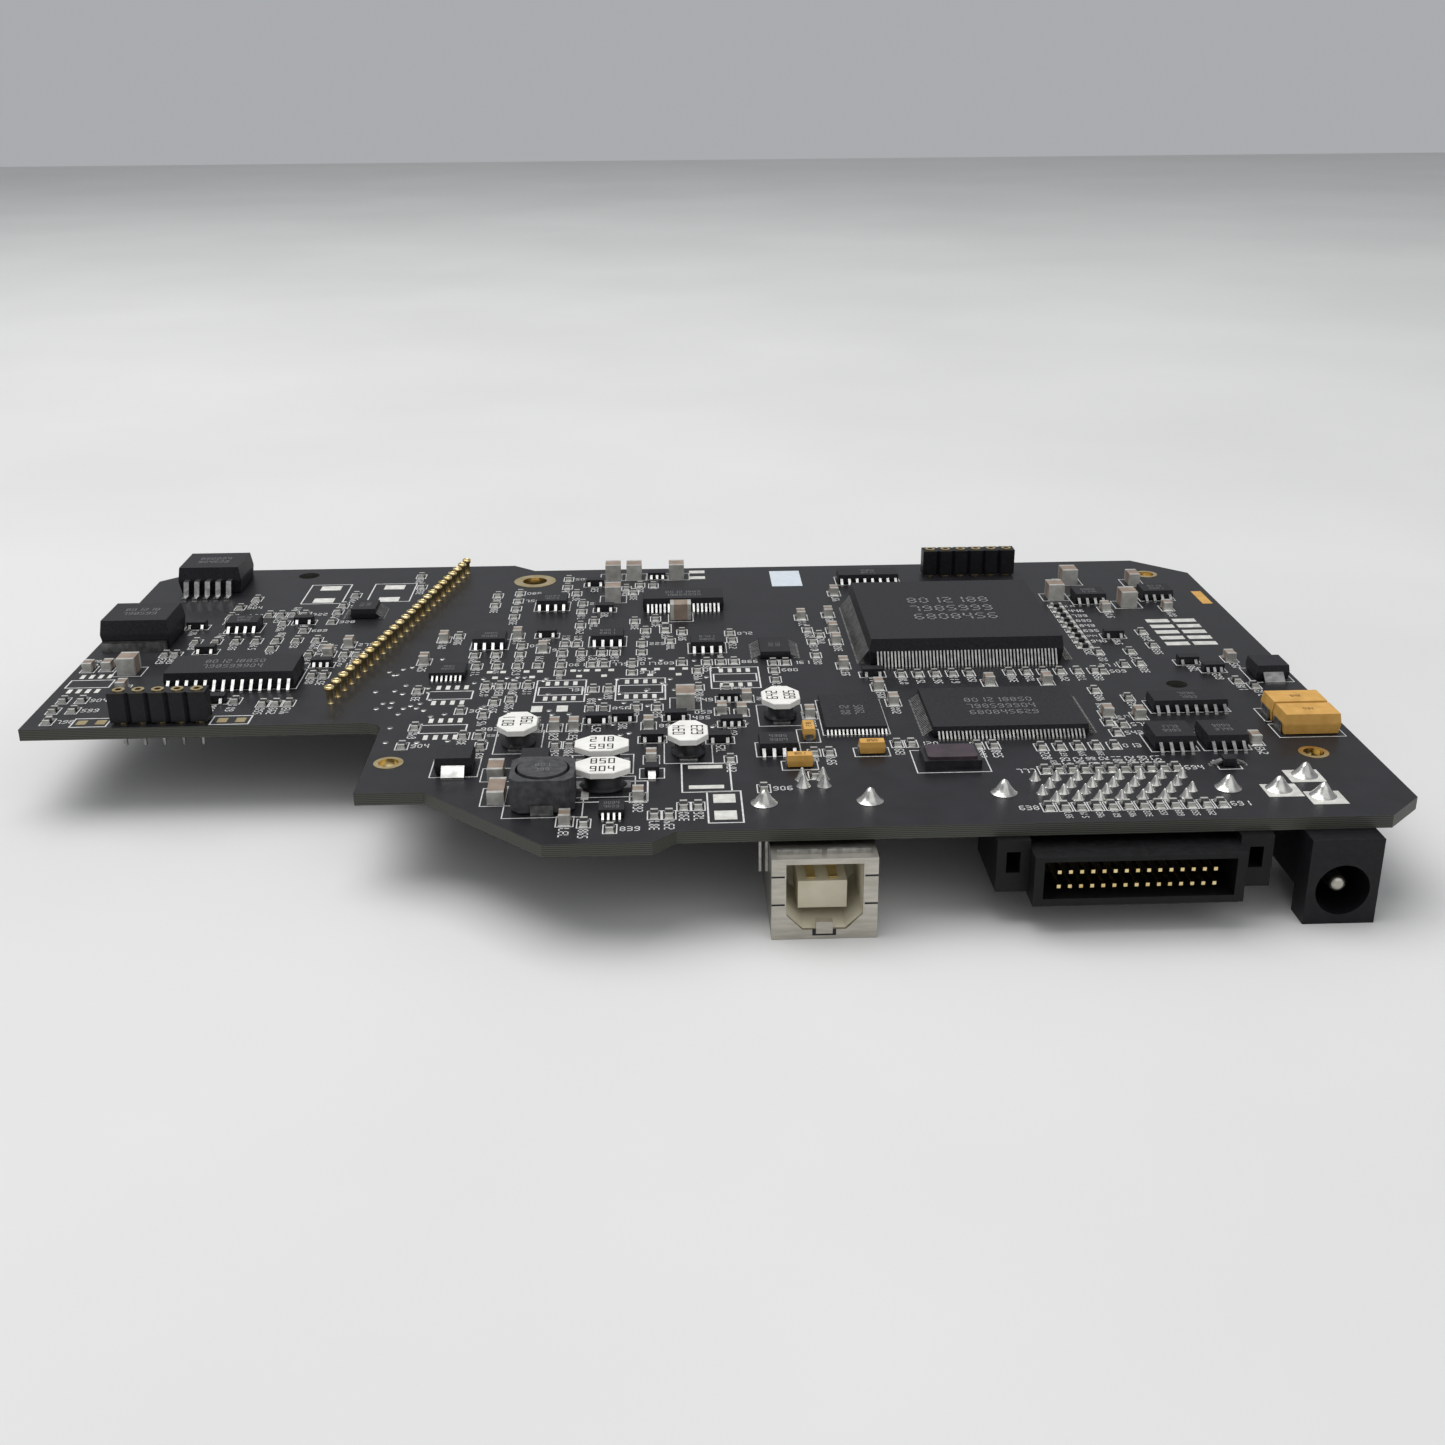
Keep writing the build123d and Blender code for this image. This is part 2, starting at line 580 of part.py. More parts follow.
small_leads = [
    (gull_lead(width / 2, toe, 0.42, height, 0.24), lead_seats(places, count, pitch))
    for _, width, height, count, pitch, toe, places in SMALL_OUTLINES
]
with BuildPart() as small_outline_leads:
    for lead, places in small_leads:
        with Locations(*places):
            add(lead)
keep(small_outline_leads, "small_outline_leads")

with BuildPart() as fine_outline_bodies:
    for length, width, height, _, _, _, places in FINE_OUTLINES:
        add_bodies(places, length, width, height)
keep(fine_outline_bodies, "fine_outline_bodies")

fine_leads = [
    (gull_lead(width / 2, toe, 0.26, height), lead_seats(places, count, pitch))
    for _, width, height, count, pitch, toe, places in FINE_OUTLINES
]
with BuildPart() as fine_outline_leads:
    for lead, places in fine_leads:
        with Locations(*places):
            add(lead)
keep(fine_outline_leads, "fine_outline_leads")

# Transistor-sized packages, three leads or six
THREE_LEAD = seats([
    (-19.3, 17.5), (-10.6, -17.5), (-7.2, -17.0), (-0.2, -17.0), (-3.3, -24.3), (5.3, -25.0),
    (-13.0, 43.0), (-11.0, 29.5), (-73.3, 24.5), (-57.3, 26.0), (-62.7, -7.5), (27.5, -2.0),
    (72.9, 0.5), (65.3, 12.5), (-69.1, 13.0),
])
SIX_LEAD = seats([(7.0, -10.5), (7.0, -19.5), (-2.8, 46.5), (-50.9, 6.3), (75.5, -2.8)])
TRANSISTOR_LENGTH = 2.9
TRANSISTOR_WIDTH = 1.5
TRANSISTOR_HEIGHT = 1.1
TRANSISTOR_TOE = 1.3
with BuildPart() as transistor_bodies:
    add_slab(BOARD_TOP + GAP_UNDER, TRANSISTOR_HEIGHT - GAP_UNDER, THREE_LEAD + SIX_LEAD, TRANSISTOR_LENGTH,
             TRANSISTOR_WIDTH)
keep(transistor_bodies, "transistor_bodies")

transistor_lead = gull_lead(TRANSISTOR_WIDTH / 2, TRANSISTOR_TOE, 0.4, TRANSISTOR_HEIGHT)
with BuildPart() as transistor_leads:
    with Locations(
        *lead_seats(THREE_LEAD, 2, 1.9, (180,)),
        *lead_seats(THREE_LEAD, 1, 0, (0,)),
        *lead_seats(SIX_LEAD, 3, 0.95),
    ):
        add(transistor_lead)
keep(transistor_leads, "transistor_leads")

# Regulators: two power packages, each with a metal tab behind and five leads in front
REGULATORS = [seat(-75.55, 46.4), seat(-79.8, 19.4, 180)]
REGULATOR_LENGTH = 10.1
REGULATOR_WIDTH = 9.0
REGULATOR_HEIGHT = 4.4
REGULATOR_TAB = (9.2, 1.3, 1.3)
with BuildPart() as regulator_bodies:
    add_bodies(REGULATORS, REGULATOR_LENGTH, REGULATOR_WIDTH, REGULATOR_HEIGHT)
keep(regulator_bodies, "regulator_bodies")

tab_length, tab_width, tab_height = REGULATOR_TAB
tab_seats = [place * seat(0, (REGULATOR_WIDTH + tab_width) / 2) for place in REGULATORS]
with BuildPart() as regulator_tabs:
    add_slab(BOARD_TOP, tab_height, tab_seats, tab_length, tab_width)
keep(regulator_tabs, "regulator_tabs")

regulator_lead = stepped_lead(REGULATOR_WIDTH / 2, 8.6, 0.8, REGULATOR_HEIGHT)
with BuildPart() as regulator_leads:
    with Locations(*lead_seats(REGULATORS, 5, 1.7, (180,))):
        add(regulator_lead)
keep(regulator_leads, "regulator_leads")

# Oscillator: ceramic base with a metal lid set in from its edge
OSCILLATOR = [seat(33.4, -33.1)]
OSCILLATOR_LENGTH = 7.0
OSCILLATOR_WIDTH = 5.0
OSCILLATOR_BASE = 1.1
with BuildPart() as oscillator_base:
    add_slab(BOARD_TOP, OSCILLATOR_BASE, OSCILLATOR, OSCILLATOR_LENGTH, OSCILLATOR_WIDTH)
keep(oscillator_base, "oscillator_base")

with BuildPart() as oscillator_lid:
    with BuildSketch(Plane.XY.offset(BOARD_TOP + OSCILLATOR_BASE)):
        with Locations(*OSCILLATOR):
            RectangleRounded(OSCILLATOR_LENGTH - 0.9, OSCILLATOR_WIDTH - 0.9, 0.5)
    extrude(amount=0.35)
keep(oscillator_lid, "oscillator_lid")

# Coil inductors: eight-sided ceramic bodies on two end terminals
COILS = seats([(-9.4, -31.9), (-9.1, -38.7)]) + seats([(-20.3, -24.2), (1.2, -28.3), (13.55, -16.7)], 90)
COIL_LENGTH = 6.6
COIL_WIDTH = 5.0
COIL_HEIGHT = 2.9
COIL_CUT = 1.5
COIL_FOOT = 0.35
with BuildPart() as coil_bodies:
    with BuildSketch(Plane.XY.offset(BOARD_TOP + COIL_FOOT)) as coil_plan:
        with Locations(*COILS):
            Rectangle(COIL_LENGTH, COIL_WIDTH)
        chamfer(coil_plan.vertices(), COIL_CUT)
    extrude(amount=COIL_HEIGHT - COIL_FOOT)
keep(coil_bodies, "coil_bodies")

with BuildPart() as coil_terminals:
    coil_ends = [place * seat(side * (COIL_LENGTH - 1.4) / 2, 0) for place in COILS for side in (-1, 1)]
    add_slab(BOARD_TOP, COIL_FOOT, coil_ends, 1.4, 2.2)
keep(coil_terminals, "coil_terminals")

# Shielded inductor: square case, round core showing on top, a terminal front and back
SHIELDED = [seat(-15.9, -42.5)]
SHIELDED_LENGTH = 7.4
SHIELDED_WIDTH = 7.2
SHIELDED_HEIGHT = 4.2
CORE_RADIUS = 2.9
with BuildPart() as shielded_case:
    with BuildSketch(Plane.XY.offset(BOARD_TOP + 0.2)) as shielded_plan:
        with Locations(*SHIELDED):
            Rectangle(SHIELDED_LENGTH, SHIELDED_WIDTH)
        chamfer(shielded_plan.vertices(), 1.0)
        with Locations(*SHIELDED):
            Circle(CORE_RADIUS + 0.3, mode=Mode.SUBTRACT)
    extrude(amount=SHIELDED_HEIGHT - 0.2)
keep(shielded_case, "shielded_case")

with BuildPart() as shielded_core:
    with BuildSketch(Plane.XY.offset(BOARD_TOP)):
        with Locations(*SHIELDED):
            Circle(CORE_RADIUS)
    extrude(amount=SHIELDED_HEIGHT + 0.2)
keep(shielded_core, "shielded_core")

with BuildPart() as shielded_terminals:
    shielded_ends = [place * seat(0, side * (SHIELDED_WIDTH + 0.5) / 2) for place in SHIELDED for side in (-1, 1)]
    add_slab(BOARD_TOP, 1.3, shielded_ends, 2.6, 0.5)
keep(shielded_terminals, "shielded_terminals")

# Moulded tantalum capacitors: size, then seats; a strip terminal at each end
TANTALUMS = (
    (7.3, 4.3, 2.8, seats([(80.6, -25.1), (80.6, -20.5)])),
    (3.2, 1.6, 1.6, seats([(14.8, -33.5), (24.1, -29.8)]) + seats([(16.65, -24.1)], 90)),
)
TERMINAL_GAUGE = 0.15
with BuildPart() as tantalum_bodies:
    for length, width, height, places in TANTALUMS:
        add_bodies(places, length, width, height)
keep(tantalum_bodies, "tantalum_bodies")

with BuildPart() as tantalum_terminals:
    for length, width, height, places in TANTALUMS:
        reach = (length + TERMINAL_GAUGE) / 2
        ends = [place * seat(side * reach, 0) for place in places for side in (-1, 1)]
        add_slab(BOARD_TOP, waist_height(height), ends, TERMINAL_GAUGE, 0.6 * width)
keep(tantalum_terminals, "tantalum_terminals")

# Rectifiers: moulded bodies with a wide lead at each end
RECTIFIERS = (
    (4.6, 6.4, 2.2, 2.8, seats([(-27.4, -32.0), (82.4, -5.2)])),
    (2.7, 1.8, 1.2, 0.9, seats([(-3.3, -35.0)])),
    (2.7, 1.6, 1.1, 0.8, seats([(67.0, -36.0)], 90)),
    (4.4, 3.6, 2.3, 2.2, seats([(-17.5, -33.3)])),
)
with BuildPart() as rectifier_bodies:
    for length, width, height, _, places in RECTIFIERS:
        add_bodies(places, min(length, width), min(length, width), height)
keep(rectifier_bodies, "rectifier_bodies")

rectifier_ends = [
    (gull_lead(min(length, width) / 2, min(length, width) / 2 + 1.3, lead_width, height, 0.25), places)
    for length, width, height, lead_width, places in RECTIFIERS
]
with BuildPart() as rectifier_leads:
    for lead, places in rectifier_ends:
        with Locations(*lead_seats(places, 1, 0)):
            add(lead)
keep(rectifier_leads, "rectifier_leads")

# Ceramic capacitors with metal ends: length across the ends, width, height, seats
END_LENGTH = 0.55
CAPPED = (
    (3.2, 2.5, 2.5, seats([
        (-10.1, 47.2), (-6.6, 47.1), (0.45, 46.9), (-9.8, 35.0), (60.8, 32.0), (64.8, 40.0),
        (71.3, 27.5), (-77.9, 5.0),
    ], 90) + seats([(0.9, 25.2)])),
    (4.0, 2.5, 2.1, seats([(1.1, -11.9)], 90)),
    (3.2, 1.7, 1.9, seats([(75.2, 39.0)], 90)),
    (3.4, 1.9, 1.5, seats([(-22.2, -34.5)], 90)),
    (4.5, 2.0, 1.6, seats([(-21.5, -41.0)], 90)),
)
with BuildPart() as large_capacitors:
    for length, width, height, places in CAPPED:
        add_slab(BOARD_TOP, height, places, length - 2 * END_LENGTH, width)
keep(large_capacitors, "large_capacitors")

with BuildPart() as large_capacitor_ends:
    for length, width, height, places in CAPPED:
        ends = [place * seat(side * (length - END_LENGTH) / 2, 0) for place in places for side in (-1, 1)]
        add_slab(BOARD_TOP, height, ends, END_LENGTH, width)
keep(large_capacitor_ends, "large_capacitor_ends")

# Small ceramic capacitors, long across the board
SMALL_CAPACITOR = (1.25, 2.0)
SMALL_CAPACITOR_HEIGHT = 1.2
small_capacitor_places = [
    (-21.9, -19.6), (-18.6, -19.6), (-13.2, -48.2), (-4.9, -42.0), (-3.4, -30.8), (5.9, -15.0),
    (8.5, -15.6), (9.4, -10.5), (17.4, -17.0), (-19.5, 11.0), (-23.7, 17.6), (-48.5, 15.0),
    (-50.8, 11.0), (79.3, 1.5), (56.5, -18.8), (60.5, -19.6), (-36.3, 6.8), (-34.6, 16.5),
    (67.3, 25.2), (77.0, 25.2), (-76.9, -1.8), (-13.5, -19.6), (-16.0, -19.6), (-3.8, -19.6),
    (-84.0, 6.3), (-81.4, 6.6), (72.6, -29.0), (43.2, -6.2), (51.2, -6.2), (27.7, -7.2),
    (29.0, -13.0), (23.8, 12.2), (23.8, 1.8), (23.8, 17.5), (23.8, 25.0), (19.5, 24.0), (25.8, 36.0),
]
with BuildPart() as small_capacitors:
    add_slab(BOARD_TOP, SMALL_CAPACITOR_HEIGHT, small_capacitor_places, *SMALL_CAPACITOR)
keep(small_capacitors, "small_capacitors")

# Chip resistors, in rows where they are evenly spaced
CHIP = (0.8, 1.6)
CHIP_HEIGHT = 0.5
chip_places = [
    *run(-28.5, 2.9, 4, 4.4), (-16.5, 4.4), (-12.1, 4.4), (-10.3, 4.4), (-6.3, 4.4), (0.8, 4.4),
    (4.4, 4.4), (6.4, 4.4), (8.3, 4.4), (-16.5, 1.2), (-6.3, 0.8), (3.0, 1.0), (3.0, -5.8),
    *run(-26.4, 1.93, 4, -3.7), (-22.6, -8.8), (-24.7, -10.0), (-28.9, -13.0), (-25.7, -14.5),
    (-11.5, -5.7), (-9.4, -5.7), (-11.6, -13.0), (-9.8, -13.0), (-5.5, -12.8), (-2.7, -13.0),
    (6.8, -6.2), (13.8, 0.6), (13.8, -3.2), (13.9, 3.6), (15.7, 3.6),
    (-29.3, 9.3), (-26.2, 9.3), (-22.7, 9.3), (-16.6, 9.3), (-13.8, 9.3), (-10.8, 9.3), (-8.9, 9.3),
    (-5.0, 9.3), (-5.0, 13.0), (-22.7, 13.0), (-16.4, 13.5), (-14.6, 13.3), (-0.8, 14.0), (8.4, 14.0),
    (8.2, 17.0), (1.0, 18.0), (-4.5, 19.0), (-1.6, 19.0), (20.0, 18.0), (21.6, 15.5), (20.3, 12.5),
    (20.3, 6.5), (-35.0, -24.8), (-27.6, -21.8), (-25.6, -21.8), (-25.0, -25.2), (-15.6, -25.5),
    (-13.8, -25.5), (-11.0, -48.8), (-8.0, -50.4), (-3.0, -47.0), (-1.3, -47.0), (0.4, -44.8),
    (2.1, -44.8), (6.4, -31.2), (10.0, -40.2), (16.9, -29.7), (18.8, -29.7), (16.4, -36.7),
    *run(45.5, 2.3, 5, -29.4), (27.6, -27.4), (29.4, -27.4), (37.6, -28.5), (39.6, -28.5),
    *run(44.4, 1.6, 11, -36.6), *run(42.5, 1.83, 12, -47.2),
    (55.9, -21.6), (57.6, -22.4), (56.1, -25.2), *run(31.5, 2.4, 5, -2.2), *run(46.8, 2.4, 6, -2.2),
    (57.0, -10.0), (60.8, -13.0), (59.9, -2.5), (63.6, 0.0), (66.0, 0.5), (77.4, -7.4), (79.2, -9.4),
    (70.0, 14.0), (70.0, 8.0), (66.0, 5.5), (61.3, 5.5), *run(-71.7, 3.0, 7, 17.5), (-53.6, 10.8),
    (-52.2, 14.6), (-48.4, 10.8), (-46.6, 10.8), (-51.4, 2.0), (-49.8, 2.0), (-59.7, 14.0),
    (-74.7, 12.0), (-73.2, 12.0), (-60.0, -7.5), *run(-56.0, 1.75, 3, -8.8), (-83.5, -6.2), (-81.0, -6.2),
    (-83.6, -10.0), (-81.0, -10.0), (-83.0, -14.0), (-35.6, -5.0), (-34.2, -18.5), (-32.5, 18.0),
    *run(-63.5, 1.85, 4, 30.0), (-69.0, 34.0), (-67.3, 38.5), (-69.3, 29.5), (-60.4, 25.8),
    (-56.5, 22.0), (-52.7, 34.0), (-53.0, 31.0), (-53.0, 26.0), (-42.4, 49.5), (-41.5, 43.5),
    (-51.6, 39.5), (-17.5, 46.4), (-17.5, 42.0), (-15.8, 38.4), (-17.8, 37.4), (-25.0, 39.0),
    (-25.0, 35.0), (-25.0, 31.0), (-25.0, 27.0), (-28.5, 38.0), (-28.5, 33.0), (-6.6, 38.4),
    (-6.2, 23.6), (-14.5, 22.0), (-12.5, 24.0), (-7.8, 40.8), (-3.0, 24.6), (-1.4, 20.6),
    (-14.6, 33.0), (-14.6, 29.0), (-5.6, 42.4), (-3.4, 42.0),
]
with BuildPart() as chip_resistors:
    add_slab(BOARD_TOP, CHIP_HEIGHT, chip_places, *CHIP)
keep(chip_resistors, "chip_resistors")

# Turned resistors in the column right of the gate array
COLUMN_X = 60.0
COLUMN_FIRST = 8.0
COLUMN_PITCH = 2.4
COLUMN_COUNT = 9
column_places = [(COLUMN_X, COLUMN_FIRST + COLUMN_PITCH * step) for step in range(COLUMN_COUNT)]
with BuildPart() as column_resistors:
    add_slab(BOARD_TOP, CHIP_HEIGHT, column_places, CHIP[1], CHIP[0])
keep(column_resistors, "column_resistors")

# Socket strips: notched housings, each with a row of turned contacts
SOCKETS = ((-68.0, -14.27, 5), (49.07, 45.47, 6))
SOCKET_PITCH = 2.54
SOCKET_WIDTH = 2.55
SOCKET_HEIGHT = 4.4
SOCKET_NOTCH = 0.35
CONTACT_RADIUS = 0.85
CONTACT_HOLE = 0.45
CONTACT_PROUD = 0.15
contact_places = [
    (x + (step - (count - 1) / 2) * SOCKET_PITCH, y) for x, y, count in SOCKETS for step in range(count)
]
notch_places = [
    (x + (step - count / 2) * SOCKET_PITCH, y + side * SOCKET_WIDTH / 2)
    for x, y, count in SOCKETS
    for step in range(1, count)
    for side in (-1, 1)
]
with BuildPart() as socket_housings:
    with BuildSketch(Plane.XY.offset(BOARD_TOP + 0.3)):
        for x, y, count in SOCKETS:
            with Locations((x, y)):
                Rectangle(count * SOCKET_PITCH, SOCKET_WIDTH)
        with Locations(*notch_places):
            RegularPolygon(SOCKET_NOTCH, 4, mode=Mode.SUBTRACT)
        with Locations(*contact_places):
            RegularPolygon(CONTACT_RADIUS, 8, mode=Mode.SUBTRACT)
    extrude(amount=SOCKET_HEIGHT - 0.3)
keep(socket_housings, "socket_housings")

with BuildPart() as socket_contacts:
    with BuildSketch(Plane.XY.offset(BOARD_TOP)):
        with Locations(*contact_places):
            RegularPolygon(CONTACT_RADIUS, 8)
    extrude(amount=SOCKET_HEIGHT + CONTACT_PROUD)
    with BuildSketch(Plane.XY.offset(BOARD_TOP + SOCKET_HEIGHT + CONTACT_PROUD)):
        with Locations(*contact_places):
            RegularPolygon(CONTACT_HOLE, 6)
    extrude(amount=-3, mode=Mode.SUBTRACT)
keep(socket_contacts, "socket_contacts")

# Sensor receptacles: a slanting row of turned sockets with open tops
RECEPTACLE_COUNT = 25
RECEPTACLE_FIRST = (-46.9, -8.9)
RECEPTACLE_LAST = (-34.9, 51.2)
RECEPTACLE_HEIGHT = 2.5
RECEPTACLE_RADIUS = 0.7
RECEPTACLE_HOLE = 0.4
receptacle_places = [
    tuple(
        first + (last - first) * step / (RECEPTACLE_COUNT - 1)
        for first, last in zip(RECEPTACLE_FIRST, RECEPTACLE_LAST)
    )
    for step in range(RECEPTACLE_COUNT)
]
with BuildPart() as sensor_receptacles:
    with BuildSketch(Plane.XY.offset(BOARD_TOP)):
        with Locations(*receptacle_places):
            RegularPolygon(RECEPTACLE_RADIUS, 6)
    extrude(amount=RECEPTACLE_HEIGHT)
    with BuildSketch(Plane.XY.offset(BOARD_TOP + RECEPTACLE_HEIGHT)):
        with Locations(*receptacle_places):
            RegularPolygon(RECEPTACLE_HOLE, 6)
    extrude(amount=-1.5, mode=Mode.SUBTRACT)
keep(sensor_receptacles, "sensor_receptacles")
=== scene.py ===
# %% [markdown]
# # A spectrometer's control board
# The solids come from the construction drawing. This lesson adds what a drawing leaves
# out: finishes, solder, printed marks and the metal ends of small parts. The frame is
# loaded first, so every size below is read from it.

# %% Load the frame
import json
import math

import bpy
import numpy as np
from mathutils import Matrix, Vector


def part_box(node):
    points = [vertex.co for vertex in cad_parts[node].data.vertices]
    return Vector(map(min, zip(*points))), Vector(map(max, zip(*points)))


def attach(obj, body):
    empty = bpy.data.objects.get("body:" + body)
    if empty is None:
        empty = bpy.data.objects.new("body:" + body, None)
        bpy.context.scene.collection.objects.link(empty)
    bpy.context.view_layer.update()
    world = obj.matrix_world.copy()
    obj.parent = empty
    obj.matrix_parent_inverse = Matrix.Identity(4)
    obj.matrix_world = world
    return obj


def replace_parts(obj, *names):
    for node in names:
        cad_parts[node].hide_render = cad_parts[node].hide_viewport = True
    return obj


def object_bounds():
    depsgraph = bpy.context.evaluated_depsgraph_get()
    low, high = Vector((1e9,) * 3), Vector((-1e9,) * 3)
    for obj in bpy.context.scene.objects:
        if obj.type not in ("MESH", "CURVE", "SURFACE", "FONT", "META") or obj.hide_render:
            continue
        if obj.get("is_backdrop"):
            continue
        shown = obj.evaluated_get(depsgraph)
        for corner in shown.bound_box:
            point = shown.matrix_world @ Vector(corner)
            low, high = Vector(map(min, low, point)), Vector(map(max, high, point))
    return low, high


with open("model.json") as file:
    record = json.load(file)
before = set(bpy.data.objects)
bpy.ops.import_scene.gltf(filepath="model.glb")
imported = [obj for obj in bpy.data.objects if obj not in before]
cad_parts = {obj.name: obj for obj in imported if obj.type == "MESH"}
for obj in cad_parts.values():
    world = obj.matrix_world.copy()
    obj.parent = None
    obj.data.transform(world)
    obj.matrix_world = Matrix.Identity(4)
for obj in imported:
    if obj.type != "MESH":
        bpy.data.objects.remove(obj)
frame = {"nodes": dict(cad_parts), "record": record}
cad_low, cad_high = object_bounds()
MM = 0.001
BOARD_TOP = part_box("circuit_board")[1][2]
print("board top at", round(BOARD_TOP / MM, 2), "mm")

# %% [markdown]
# ## Finishes
# Real plastic and metal are never one flat colour. Each finish mixes two close tones
# with a noise on Object coordinates, so the pattern stays put, and a finer noise gives
# a slight bump and an uneven gloss.

# %% A finish from two tones
def finish(name, tone, second, rough, metallic=0.0, scale=900.0, bump=0.05, stretch=(1, 1, 1), coat=0.0):
    """Principled surface: colour and gloss follow a noise of the object's own coordinates."""
    material = bpy.data.materials.new(name)
    material.use_nodes = True
    tree = material.node_tree
    shader = tree.nodes["Principled BSDF"]
    shader.inputs["Metallic"].default_value = metallic
    shader.inputs["Specular IOR Level"].default_value = 0.5 if metallic else 0.24
    shader.inputs["Coat Weight"].default_value = coat
    place = tree.nodes.new("ShaderNodeTexCoord")
    mapping = tree.nodes.new("ShaderNodeMapping")
    mapping.inputs["Scale"].default_value = stretch
    noise = tree.nodes.new("ShaderNodeTexNoise")
    noise.inputs["Scale"].default_value = scale
    noise.inputs["Detail"].default_value = 6
    tones = tree.nodes.new("ShaderNodeValToRGB")
    tones.color_ramp.elements[0].position = 0.35
    tones.color_ramp.elements[1].position = 0.68
    tones.color_ramp.elements[0].color = (*tone, 1)
    tones.color_ramp.elements[1].color = (*second, 1)
    gloss = tree.nodes.new("ShaderNodeMapRange")
    gloss.inputs["To Min"].default_value = rough * 0.85
    gloss.inputs["To Max"].default_value = min(1.0, rough * 1.2)
    relief = tree.nodes.new("ShaderNodeBump")
    relief.inputs["Strength"].default_value = bump
    relief.inputs["Distance"].default_value = 0.0001
    link = tree.links.new
    link(place.outputs["Object"], mapping.inputs["Vector"])
    link(mapping.outputs["Vector"], noise.inputs["Vector"])
    link(noise.outputs["Fac"], tones.inputs["Fac"])
    link(noise.outputs["Fac"], gloss.inputs["Value"])
    link(noise.outputs["Fac"], relief.inputs["Height"])
    link(tones.outputs["Color"], shader.inputs["Base Color"])
    link(gloss.outputs["Result"], shader.inputs["Roughness"])
    link(relief.outputs["Normal"], shader.inputs["Normal"])
    return material


finishes = {
    "board_laminate": finish("solder_mask", (0.008, 0.008, 0.01), (0.014, 0.014, 0.017),
                             0.42, scale=260, coat=0.05),
    "gold_plate": finish("gold_plate", (0.72, 0.53, 0.22), (0.9, 0.74, 0.42), 0.2, 1.0, 700),
    "solder": finish("solder", (0.42, 0.42, 0.4), (0.66, 0.65, 0.62), 0.26, 1.0, 900, 0.3),
    "steel_sheet": finish("nickel_sheet", (0.42, 0.4, 0.35), (0.54, 0.51, 0.46),
                          0.36, 1.0, 350, 0.15, (1, 1, 6)),
    "cream_plastic": finish("cream_plastic", (0.62, 0.58, 0.45), (0.7, 0.66, 0.54), 0.5, scale=300),
    "black_plastic": finish("black_plastic", (0.004, 0.004, 0.005), (0.008, 0.008, 0.01),
                            0.45, scale=1500, bump=0.25),
    "tinned_lead": finish("tinned_lead", (0.24, 0.24, 0.235), (0.46, 0.455, 0.44), 0.32, 1.0, 1200),
    "moulding": finish("package_moulding", (0.009, 0.009, 0.011), (0.017, 0.017, 0.02),
                       0.5, scale=2600, bump=0.35),
    "white_ceramic": finish("white_ceramic", (0.7, 0.69, 0.65), (0.78, 0.77, 0.74), 0.45, scale=600),
    "tan_ceramic": finish("tan_ceramic", (0.2, 0.15, 0.115), (0.29, 0.225, 0.18), 0.45, scale=500),
    "black_ceramic": finish("black_ceramic", (0.012, 0.012, 0.013), (0.022, 0.022, 0.025), 0.32, scale=700),
    "grey_ferrite": finish("grey_ferrite", (0.035, 0.036, 0.038), (0.07, 0.07, 0.073),
                           0.6, scale=1200, bump=0.3),
    "yellow_moulding": finish("yellow_moulding", (0.5, 0.27, 0.06), (0.6, 0.34, 0.09), 0.45, scale=700),
    "lid_metal": finish("lid_metal", (0.06, 0.042, 0.052), (0.1, 0.066, 0.082), 0.3, 0.6, 500),
}
slot_of = {material.name: slot for slot, material in finishes.items()}
slots = {part["node"]: part["material_slot"] for part in frame["record"]["subparts"]}
for node, thing in frame["nodes"].items():
    thing.data.materials.clear()
    thing.data.materials.append(finishes[slots[node]])
print(len(slots), "nodes finished")

# %% [markdown]
# ## Where the parts are
# A node such as the chip resistors is one mesh of many separate blocks. Points that
# share an edge belong together, so passing the smallest label along the edges until
# nothing changes gives each block its own label, and then its own box.

# %% Boxes of the separate blocks in a node
def blocks(node):
    """Lowest and highest corners of each connected block, as two arrays in metres."""
    mesh = frame["nodes"][node].data
    points = np.empty(len(mesh.vertices) * 3)
    mesh.vertices.foreach_get("co", points)
    points = points.reshape(-1, 3)
    pairs = np.empty(len(mesh.edges) * 2, dtype=int)
    mesh.edges.foreach_get("vertices", pairs)
    pairs = pairs.reshape(-1, 2)
    keys = np.round(points / 1e-7).astype(np.int64)
    _, same = np.unique(keys, axis=0, return_inverse=True)
    same = same.ravel()
    labels = np.arange(same.max() + 1)
    ends = same[pairs]
    while True:
        lower = labels.copy()
        np.minimum.at(lower, ends[:, 0], labels[ends[:, 1]])
        np.minimum.at(lower, ends[:, 1], labels[ends[:, 0]])
        if np.array_equal(lower, labels):
            break
        labels = lower
    _, groups = np.unique(labels[same], return_inverse=True)
    groups = groups.ravel()
    low = np.full((groups.max() + 1, 3), np.inf)
    high = -low
    np.minimum.at(low, groups, points)
    np.maximum.at(high, groups, points)
    return low, high


print(len(blocks("chip_resistors")[0]), "chip resistors found")

# %% [markdown]
# ## Many small plates at once
# Pads, print and metal ends are all thin blocks. One function turns arrays of centres,
# sizes and turns into one mesh: eight corners a block, as a unit block scaled, turned
# about Z and moved.

# %% Blocks and flat print
UNIT = np.array([[x, y, z] for z in (0, 1) for y in (-0.5, 0.5) for x in (-0.5, 0.5)])
SIDES = np.array([[0, 2, 3, 1], [4, 5, 7, 6], [0, 1, 5, 4], [2, 6, 7, 3], [0, 4, 6, 2], [1, 3, 7, 5]])
FLAT = SIDES[1:2]


def place_piece(name, mesh, material):
    """Show a mesh with its finish, riding the part."""
    mesh.materials.append(material)
    piece = bpy.data.objects.new(name, mesh)
    bpy.context.scene.collection.objects.link(piece)
    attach(piece, "root")
    return piece


